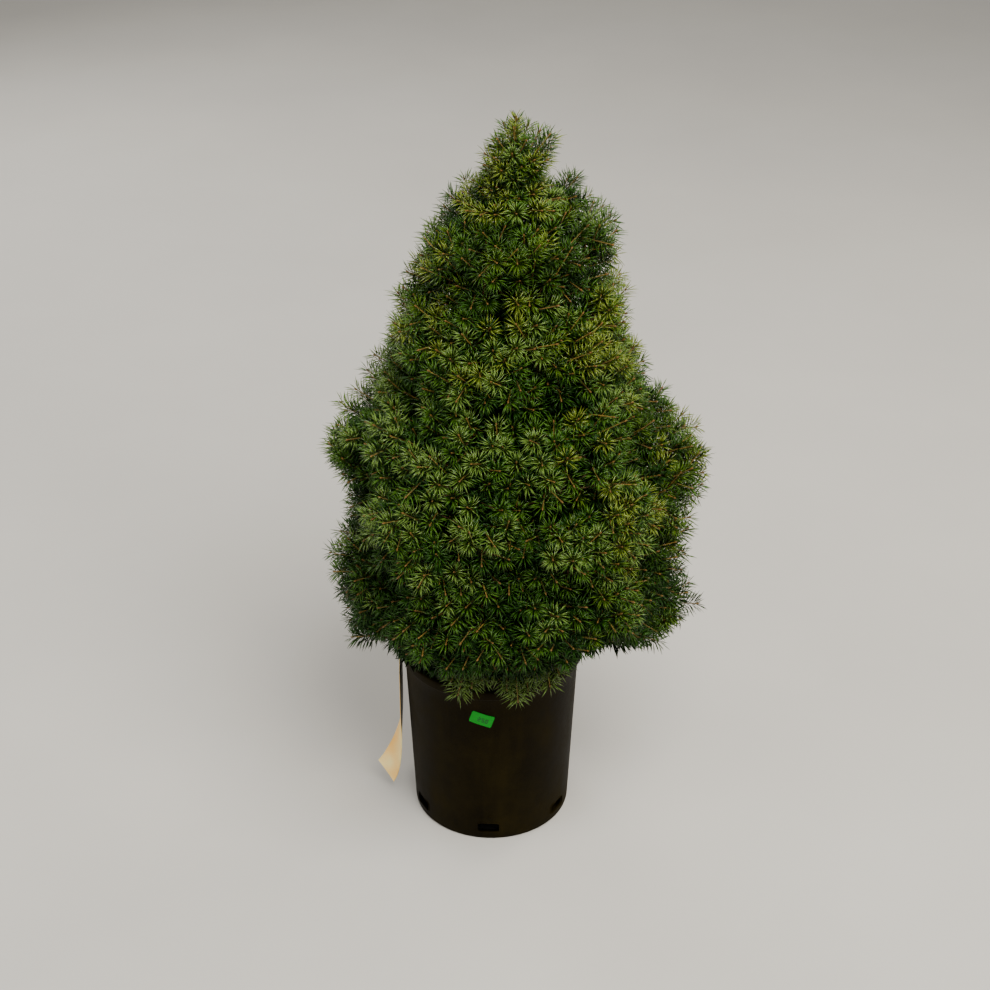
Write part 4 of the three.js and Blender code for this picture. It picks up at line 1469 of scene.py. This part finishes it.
class NeedleSettings(bpy.types.PropertyGroup):
    """The needles' sizes, lean and wax"""

    needle: bpy.props.FloatProperty(
        name="Needle",
        description="Length of a needle",
        unit="LENGTH",
        default=20.0 * MM,
        min=2.0 * MM,
        precision=4,
    )
    width: bpy.props.FloatProperty(
        name="Half width",
        description="Half the width of a needle",
        unit="LENGTH",
        default=0.64 * MM,
        min=0.1 * MM,
        precision=5,
    )
    lean_base: bpy.props.FloatProperty(
        name="Base lean",
        description="Lean of a shoot's first needles",
        subtype="ANGLE",
        default=math.radians(72.0),
    )
    lean_tip: bpy.props.FloatProperty(
        name="Tip lean",
        description="Lean of a shoot's last needles",
        subtype="ANGLE",
        default=math.radians(42.0),
    )
    roughness: bpy.props.FloatProperty(
        name="Roughness",
        description="Roughness of a needle",
        subtype="FACTOR",
        default=0.35,
        min=0.0,
        max=1.0,
    )
    wax: bpy.props.FloatProperty(
        name="Wax",
        description="Pale waxy gloss on the needles",
        subtype="FACTOR",
        default=0.5,
        min=0.0,
        max=1.0,
    )
    fresh_share: bpy.props.FloatProperty(
        name="Fresh",
        description="How much fresher the outer half of a shoot is",
        default=0.3,
        min=0.0,
    )


class StageSettings(bpy.types.PropertyGroup):
    """The floor's colour and the lights' strengths"""

    floor: bpy.props.FloatVectorProperty(
        name="Floor",
        description="Colour of the floor",
        subtype="COLOR",
        min=0.0,
        max=1.0,
        default=(0.62, 0.6, 0.57),
    )
    key: bpy.props.FloatProperty(
        name="Key light",
        description="Power of the large overhead light",
        unit="POWER",
        default=146.0,
        min=0.0,
    )
    fill: bpy.props.FloatProperty(
        name="Fill light",
        description="Power of the light at the left",
        unit="POWER",
        default=16.0,
        min=0.0,
    )
    rim: bpy.props.FloatProperty(
        name="Rim light",
        description="Power of the warm light behind at the right",
        unit="POWER",
        default=16.0,
        min=0.0,
    )
    back: bpy.props.FloatProperty(
        name="Back light",
        description="Power of the light behind at the left",
        unit="POWER",
        default=26.0,
        min=0.0,
    )
    sky: bpy.props.FloatProperty(
        name="Sky",
        description="Strength of the even light all round",
        default=0.32,
        min=0.0,
    )


class SPRUCE_OT_pot(bpy.types.Operator):
    """Make the nursery pot with its rolled rim and drain slots"""

    bl_idname = "spruce.pot"
    bl_label = "Pot"

    def execute(self, context):
        settings = context.scene.spruce_pot
        corners, faces = turned(pot_profile(), settings.segments)
        body = mesh_of("pot_uncut", corners, faces, smooth=True)
        mesh = cut_mesh("pot_shell", body, slot_cutter())
        mesh.shade_smooth()
        mesh.set_sharp_from_angle(angle=math.radians(POT_SHARP))
        plastic = pot_plastic(settings)
        add_piece("pot_shell", mesh, [plastic], "pot", "pot")
        lip_corners, lip_faces = slot_lips()
        lips = mesh_of("pot_lips", lip_corners, lip_faces, smooth=True)
        add_piece("pot_lips", lips, [plastic], "pot")
        return {"FINISHED"}


class SPRUCE_OT_soil(bpy.types.Operator):
    """Fill the pot with potting mix and scatter bark chips on it"""

    bl_idname = "spruce.soil"
    bl_label = "Potting mix"

    def execute(self, context):
        settings = context.scene.spruce_pot
        inner = POT_WALL + SOIL_OFF_WALL
        hollow = wall_radius(0) - inner - SLOT_HOLLOW
        profile = [(0.01, POT_FLOOR + SOIL_OFF_FLOOR), (hollow, POT_FLOOR + SOIL_OFF_FLOOR)]
        profile += [(hollow, SLOT_HIGH), (hollow + 4, SLOT_HIGH + 6)]
        profile += [(wall_radius(z) - inner, z) for z in (SLOT_HIGH + 12, 80, 120, 160, SOIL_EDGE)]
        edge = wall_radius(SOIL_EDGE) - inner
        for share in np.linspace(0.97, 0.0, 30):
            profile.append((edge * share, mix(SOIL_EDGE, SOIL_TOP, 1 - share**2)))
        corners, faces = turned(profile, 140)
        rough = []
        for corner in corners:
            rough.append(sum(noise.noise(Vector(corner) * fine) * high for fine, high in SOIL_LUMPS))
        corners[:, 2] += np.where(corners[:, 2] > SOIL_EDGE - 1, rough, 0)
        chips = [self.chip(number) for number in range(settings.chips)]
        corners, faces = joined([(corners, faces), *chips])
        add_piece("potting_mix", mesh_of("potting_mix", corners, faces), [potting_mix()], "soil", "soil")
        return {"FINISHED"}

    def chip(self, number):
        """One flake of bark, lying askew on the mix."""
        rng = np.random.default_rng(3000 + number)
        turn = rng.uniform(0, 2 * math.pi)
        outwards = CHIPS_REACH * math.sqrt(rng.uniform(0.0, 1))
        height = mix(SOIL_EDGE, SOIL_TOP, 1 - (outwards / (CHIPS_REACH + 3)) ** 2) + rng.uniform(0, 1.6)
        middle = np.array([outwards * math.cos(turn), outwards * math.sin(turn), height])
        size = rng.uniform(0.4, 1) * np.array(CHIP_SIZE)
        axes = unit(rng.normal(size=3) * (1, 1, 0.25))
        across, over = cross_axes(axes)
        box = np.array([(x, y, z) for x in (-1, 1) for y in (-1, 1) for z in (-1, 1)]) * size
        box *= rng.uniform(0.6, 1.2, box.shape)
        corners = middle + box[:, :1] * axes + box[:, 1:2] * across + box[:, 2:] * over
        return corners, np.array(CHIP_FACES)


class SPRUCE_OT_trunk(bpy.types.Operator):
    """Make the trunk with its root flare and rough bark"""

    bl_idname = "spruce.trunk"
    bl_label = "Trunk"

    def execute(self, context):
        rings = 190
        sides = 44
        height = mix(TRUNK_FOOT - 1.5, TRUNK_TIP + 6, np.linspace(0, 1, rings) ** 1.3)
        share = (height - TRUNK_FOOT) / (TRUNK_TIP - TRUNK_FOOT)
        flare = ROOT_FLARE * np.exp(-(height - TRUNK_FOOT) / ROOT_FLARE_HEIGHT)
        radius = mix(TRUNK_RADII[0], TRUNK_RADII[1], share) + flare
        lobe = ROOT_LOBE_DEPTH * np.exp(-(height - TRUNK_FOOT) / (2 * ROOT_FLARE_HEIGHT))
        angle = np.arange(sides) * 2 * math.pi / sides
        outward = np.stack([np.cos(angle), np.sin(angle), 0 * angle], axis=-1)
        reach = radius[:, None] * (1 + lobe[:, None] * np.cos(ROOT_LOBES * angle)[None])
        corners = trunk_line(height)[:, None] + outward[None] * reach[..., None]
        outward = np.broadcast_to(outward, corners.shape).reshape(-1, 3)
        _, faces = turned(np.zeros((rings, 2)), sides)
        corners = relief(corners.reshape(-1, 3), outward, *TRUNK_RELIEF)
        mesh = mesh_of("trunk_bark", corners, faces, smooth=True)
        add_piece("trunk_bark", mesh, [rough_bark()], "bark", "trunk")
        return {"FINISHED"}


class SPRUCE_OT_boughs(bpy.types.Operator):
    """Make every bough and stem, from the trunk into its mass of foliage"""

    bl_idname = "spruce.boughs"
    bl_label = "Boughs"

    def execute(self, context):
        masses = all_masses()
        share = np.linspace(0.0, STEM_END, 26)
        lines = np.array([mass.stem_line(share) for mass in masses])
        paths = above_skirt(lines, LIMB_CLEARANCE)
        thick = np.array([mass.whorl.limb for mass in masses])[:, None]
        radii = thick * mix(1.0, STEM_TAPER, share)[None]
        corners, faces, outward = tube_parts(paths, radii, 14)
        mesh = mesh_of("boughs_bark", relief(corners, outward, *BOUGH_RELIEF), faces, smooth=True)
        boughs = [f"bough_{mass.name}" for mass in masses if mass.whorl.has_bough]
        add_piece("boughs_bark", mesh, [bpy.data.materials["rough_bark"]], "bark", *boughs)
        return {"FINISHED"}


class SPRUCE_OT_twigs(bpy.types.Operator):
    """Grow the branchlets, twigs and buds that carry the needles"""

    bl_idname = "spruce.twigs"
    bl_label = "Twigs and buds"

    def execute(self, context):
        settings = context.scene.spruce_crown
        shoots = grow_crown(settings)
        bends = curved(shoots.fork, shoots.heading, shoots.base, len(FORK_RADII))
        forks = tube_parts(bends, np.broadcast_to(FORK_RADII, bends.shape[:2]), 4)
        corners, faces = joined([self.branchlets(settings), forks])
        mesh = mesh_of("branchlets", corners, faces, smooth=True)
        add_piece("branchlets", mesh, [bpy.data.materials["rough_bark"]], "foliage")
        straight = [shoots.base + (shoots.tip - shoots.base) * share for share in TWIG_SHARES]
        self.add_tubes("twigs", np.stack(straight, axis=1), TWIG_RADII, twig_skin(settings))
        outer = shoots.needles >= settings.outer_needles
        beyond = shoots.axis[outer][:, None] * np.array(BUD_STEPS)[None, :, None]
        self.add_tubes("buds", shoots.tip[outer][:, None] + beyond, BUD_RADII, bud_scales(settings))
        return {"FINISHED"}

    def branchlets(self, settings):
        """Every branchlet, from its mass's bough to just inside the shoots, apart from those too low."""
        roots = []
        headings = []
        ends = []
        clear = []
        inside = in_mm(settings.shoot) + in_mm(settings.fork) + 4.0
        for mass in all_masses():
            across, up = mass.branchlets().T
            share = mix(ROOT_OUTER, ROOT_INNER, np.abs(across))
            roots.append(mass.stem_line(share))
            headings.append(unit(mass.stem_line(share + 0.05) - mass.stem_line(share)))
            ends.append(mass.face_place(across, up, inside, 0))
            face = mass.face_place(across, up, 0, 0)
            clear.append(face[:, 2] > skirt_floor(face) + 16)
        clear = np.concatenate(clear)
        roots, headings, ends = (np.concatenate(part)[clear] for part in (roots, headings, ends))
        roots = above_skirt(roots, LIMB_CLEARANCE)
        ends = above_skirt(ends, FORK_CLEARANCE)
        paths = curved(roots, headings, ends, 8)
        return tube_parts(paths, np.broadcast_to(np.linspace(*BRANCHLET_RADII, 8), paths.shape[:2]), 6)

    def add_tubes(self, name, paths, radii, material):
        """Many small tubes along paths as one piece."""
        corners, faces, _ = tube_parts(paths, np.broadcast_to(radii, paths.shape[:2]), 5)
        add_piece(name, mesh_of(name, corners, faces, smooth=True), [material], "foliage")


class SPRUCE_OT_needles(bpy.types.Operator):
    """Set the needles on every shoot and deal the tints to their sprays"""

    bl_idname = "spruce.needles"
    bl_label = "Needles"

    def execute(self, context):
        settings = context.scene.spruce_needles
        crown = context.scene.spruce_crown
        shoots = grow_crown(crown)
        rng = np.random.default_rng(11)
        grown = [needles_on(shoots, number, settings, rng) for number in range(len(shoots.tip))]
        root, direction, twist, length, width, share = (np.concatenate(part) for part in zip(*grown))
        spray = np.repeat(np.arange(len(grown)), shoots.needles.astype(int)) * 2 + (share > 0.5)
        # Each half shoot's freshness also holds painted shade deep in, under, high and low in the crown,
        # and painted light on the drooping sprays. The tints are dealt by its rank.
        fresh = np.repeat(shoots.fresh, 2)
        fresh[1::2] += settings.fresh_share
        fresh += rng.uniform(-HALF_STRAY, HALF_STRAY, len(fresh))
        rank = np.argsort(np.argsort(fresh)) / len(fresh)
        sunned = np.repeat(rng.uniform(0, 1, len(shoots.tip)) < self.sun_at(shoots.tip), 2)
        foliage = [f"foliage_{mass.name}" for mass in all_masses()] + ["foliage_leader"]
        low = 0.0
        for name, tint, gloss, part in NEEDLE_TINTS:
            dealt = (rank >= low) & (rank < low + part)
            low += part
            warm = tuple(channel * more for channel, more in zip(tint, SUN_WARMS))
            kinds = ((name, tint, dealt & ~sunned), (f"{name}_sunned", warm, dealt & sunned))
            for kind, shade, sprays in kinds:
                mine = sprays[spray]
                mesh = needle_mesh(
                    f"needles_{kind}", root[mine], direction[mine], twist[mine], length[mine], width[mine]
                )
                wax = needle_wax(f"needle_{kind}", shade, gloss, settings)
                add_piece(f"needles_{kind}", mesh, [wax], "foliage", *foliage)
        return {"FINISHED"}

    def sun_at(self, places):
        """What share of the sprays at each place stand in the sun."""
        high = np.clip((places[:, 2] - SUN_HEIGHT[0]) / SUN_HEIGHT[1], 0, 1)
        beside = np.clip((places[:, 0] - SUN_SIDE[0]) / SUN_SIDE[1], 0, 1)
        return np.minimum(high + beside, SUN_MOST)


class SPRUCE_OT_label(bpy.types.Operator):
    """Stick the small label on the pot's wall, with plain numbers"""

    bl_idname = "spruce.label"
    bl_label = "Price label"

    # Each digit's lines, by both ends, from its middle.
    STROKES = {
        "2": ((-1, 2, 1, 2), (1, 2, 1, 0), (1, 0, -1, 0), (-1, 0, -1, -2), (-1, -2, 1, -2)),
        "5": ((1, 2, -1, 2), (-1, 2, -1, 0), (-1, 0, 1, 0), (1, 0, 1, -2), (1, -2, -1, -2)),
        "0": ((-1, 2, 1, 2), (1, 2, 1, -2), (1, -2, -1, -2), (-1, -2, -1, 2)),
    }

    def execute(self, context):
        rows = 18
        columns = 28
        points = []
        for off in FILM_OFF:
            for row in np.linspace(-1, 1, rows):
                inset = max(0.0, abs(row) - 1 + 2 * LABEL_CORNER / LABEL_HEIGHT) * LABEL_HEIGHT / 2
                half = LABEL_WIDTH / 2 - 0.6 * inset
                for column in np.linspace(-1, 1, columns):
                    points.append(self.film_place(half * column, row * LABEL_HEIGHT / 2, off))
        faces, _ = sheet_faces(rows, columns)
        film = mesh_of("price_label_film", np.array(points), faces)
        add_piece("price_label_film", film, [label_film()], "price_label", "price_label")
        strokes = []
        for number, digit in enumerate(DIGITS):
            strokes += [self.stroke(number, line) for line in self.STROKES[digit]]
        ink_corners, ink_faces = joined(strokes)
        ink = mesh_of("price_label_ink", ink_corners, ink_faces)
        add_piece("price_label_ink", ink, [label_ink()], "price_label")
        return {"FINISHED"}

    def film_place(self, along, up, off):
        """A place on the slanting label, from its middle along it and up it, and off the wall."""
        slant = math.radians(LABEL_SLANT)
        round_mm = along * math.cos(slant) - up * math.sin(slant)
        height = LABEL_MIDDLE + along * math.sin(slant) + up * math.cos(slant)
        return on_wall(round_mm + math.radians(LABEL_ROUND) * wall_radius(height), height, off)

    def stroke(self, number, line):
        """One thin bar of a digit, lying on the film."""
        centre = np.array(DIGIT_MIDDLE) + (DIGIT_STEP * (number - 1), 0)
        start = np.array(line[:2]) * DIGIT_SIZE + centre
        end = np.array(line[2:]) * DIGIT_SIZE + centre
        run = unit(end - start) * DIGIT_LINE
        side = np.array([-run[1], run[0]])
        flat = [start - run - side, end + run - side, end + run + side, start - run + side]
        points = [self.film_place(x, y, off) for off in INK_OFF for x, y in flat]
        faces = np.array([(4, 5, 6, 7), (0, 1, 5, 4), (1, 2, 6, 5), (2, 3, 7, 6), (3, 0, 4, 7)])
        return np.array(points), faces


class SPRUCE_OT_tag(bpy.types.Operator):
    """Hang the care tag over the pot's rim, curled at its foot"""

    bl_idname = "spruce.tag"
    bl_label = "Care tag"

    def execute(self, context):
        stations = len(TAG_STATIONS)
        place = np.linspace(0, stations - 1, TAG_ROWS)
        knots = np.arange(stations)
        middle = np.array([station[0] for station in TAG_STATIONS], float)
        width = unit(np.array([station[1] for station in TAG_STATIONS], float))
        wide = np.array([station[2] for station in TAG_STATIONS], float)
        middle = np.stack([smooth_between(place, knots, middle[:, i]) for i in range(3)], axis=-1)
        width = unit(np.stack([smooth_between(place, knots, width[:, i]) for i in range(3)], axis=-1))
        wide = np.interp(place, knots, wide)
        run = unit(np.gradient(middle, axis=0))
        through = unit(np.cross(run, width))
        across = np.linspace(-1, 1, TAG_COLUMNS)
        cup = TAG_CUP * (1 - across**2)
        half = (0.5 * wide)[:, None, None] * across[None, :, None]
        sheet = middle[:, None] + width[:, None] * half
        cupped = np.clip((wide - TAG_CUPPED[0]) / TAG_CUPPED[1], 0, 1)
        sheet = sheet + through[:, None] * (cupped[:, None] * cup)[..., None]
        layers = [sheet + through[:, None] * off for off in (-TAG_HALF_THICK, TAG_HALF_THICK)]
        corners = np.concatenate([layer.reshape(-1, 3) for layer in layers])
        faces, sides = sheet_faces(len(place), len(across))
        mesh = mesh_of("care_tag_sheet", corners, faces, smooth=True)
        add_piece("care_tag_sheet", mesh, [tag_back(), tag_print()], "care_tag", "care_tag")
        mesh.polygons.foreach_set("material_index", sides)
        mesh.set_sharp_from_angle(angle=math.radians(TAG_SHARP))
        return {"FINISHED"}


def smooth_between(place, knots, values):
    """Values at places between knots, easing through each knot."""
    index = np.clip(place.astype(int), 0, len(knots) - 2)
    share = place - index
    slope = np.gradient(values)
    rise = values[index + 1] - values[index]
    bend = slope[index] * share * (1 - share) ** 2 - slope[index + 1] * share**2 * (1 - share)
    return values[index] + rise * share**2 * (3 - 2 * share) + bend


def sheet_faces(rows, columns):
    """The faces of a thin sheet of two layers with its edge, and which of two materials each takes."""
    layer = rows * columns
    faces = []
    sides = []
    for row in range(rows - 1):
        for column in range(columns - 1):
            a = row * columns + column
            face = (a, a + 1, a + 1 + columns, a + columns)
            faces += [face[::-1], tuple(layer + i for i in face)]
            sides += [0, 1]
    edge = list(range(columns)) + [row * columns + columns - 1 for row in range(1, rows)]
    edge += [layer - 1 - column for column in range(1, columns)]
    edge += [row * columns for row in range(rows - 2, 0, -1)]
    for here, after in zip(edge, edge[1:] + edge[:1]):
        faces.append((here, after, layer + after, layer + here))
        sides.append(0)
    return np.array(faces), np.array(sides, dtype=np.int32)


class SPRUCE_OT_stage(bpy.types.Operator):
    """Set out the floor, the soft lights and the camera"""

    bl_idname = "spruce.stage"
    bl_label = "Stage"

    def execute(self, context):
        settings = context.scene.spruce_stage
        turn = 2 * math.pi * np.arange(FLOOR_SIDES) / FLOOR_SIDES
        corners = FLOOR_RADIUS * np.stack([np.cos(turn), np.sin(turn), 0 * turn], axis=-1)
        floor = bpy.data.objects.new("floor", mesh_of("floor", corners, np.arange(FLOOR_SIDES)[None]))
        floor.data.materials.append(pale_floor(settings))
        context.scene.collection.objects.link(floor)
        for name, setting, size, place, tint in LIGHTS:
            self.light(context, name, getattr(settings, setting), size, place, tint)
        world = bpy.data.worlds.new("studio")
        world.use_nodes = True
        background = world.node_tree.nodes["Background"]
        background.inputs["Color"].default_value = colour(SKY_TINT)
        background.inputs["Strength"].default_value = settings.sky
        context.scene.world = world
        camera = bpy.data.objects.new("camera", bpy.data.cameras.new("camera"))
        camera.data.lens = CAMERA_LENS
        camera.data.sensor_width = CAMERA_SENSOR
        camera.location = CAMERA_PLACE
        camera.rotation_euler = (math.radians(CAMERA_TILT), 0, 0)
        context.scene.collection.objects.link(camera)
        context.scene.camera = camera
        return {"FINISHED"}

    def light(self, context, name, power, size, place, tint):
        """One round soft light that shines on the plant's middle."""
        lamp = bpy.data.lights.new(name, "AREA")
        lamp.shape = "DISK"
        lamp.energy = power
        lamp.size = size
        lamp.color = tint
        piece = bpy.data.objects.new(name, lamp)
        piece.location = place
        aim = Vector(LIGHTS_AIM) - Vector(place)
        piece.rotation_euler = aim.to_track_quat("-Z", "Y").to_euler()
        context.scene.collection.objects.link(piece)


class SPRUCE_PT_panel(bpy.types.Panel):
    """Lists the steps that build the potted spruce"""

    bl_label = "Potted spruce"
    bl_idname = "SPRUCE_PT_panel"
    bl_space_type = "VIEW_3D"
    bl_region_type = "UI"
    bl_category = "Spruce"

    def draw(self, context):
        for operator in OPERATORS:
            self.layout.operator(operator.bl_idname)
        for group in GROUPS:
            settings = getattr(context.scene, group)
            for name in settings.__annotations__:
                self.layout.prop(settings, name)


GROUPS = {
    "spruce_pot": PotSettings,
    "spruce_crown": CrownSettings,
    "spruce_needles": NeedleSettings,
    "spruce_stage": StageSettings,
}
OPERATORS = (
    SPRUCE_OT_pot,
    SPRUCE_OT_soil,
    SPRUCE_OT_trunk,
    SPRUCE_OT_boughs,
    SPRUCE_OT_twigs,
    SPRUCE_OT_needles,
    SPRUCE_OT_label,
    SPRUCE_OT_tag,
    SPRUCE_OT_stage,
)


def register():
    """Registers the settings, the operators and the panel."""
    for group in GROUPS.values():
        bpy.utils.register_class(group)
    for name, group in GROUPS.items():
        setattr(bpy.types.Scene, name, bpy.props.PointerProperty(type=group))
    for operator in (*OPERATORS, SPRUCE_PT_panel):
        bpy.utils.register_class(operator)


def unregister():
    """Takes back what register did."""
    for operator in (SPRUCE_PT_panel, *reversed(OPERATORS)):
        bpy.utils.unregister_class(operator)
    for name, group in GROUPS.items():
        delattr(bpy.types.Scene, name)
        bpy.utils.unregister_class(group)


def main():
    """Builds the plant and its stage."""
    register()
    bpy.ops.spruce.pot()
    bpy.ops.spruce.soil()
    bpy.ops.spruce.trunk()
    bpy.ops.spruce.boughs()
    bpy.ops.spruce.twigs()
    bpy.ops.spruce.needles()
    bpy.ops.spruce.label()
    bpy.ops.spruce.tag()
    bpy.ops.spruce.stage()


if __name__ == "__main__":
    main()
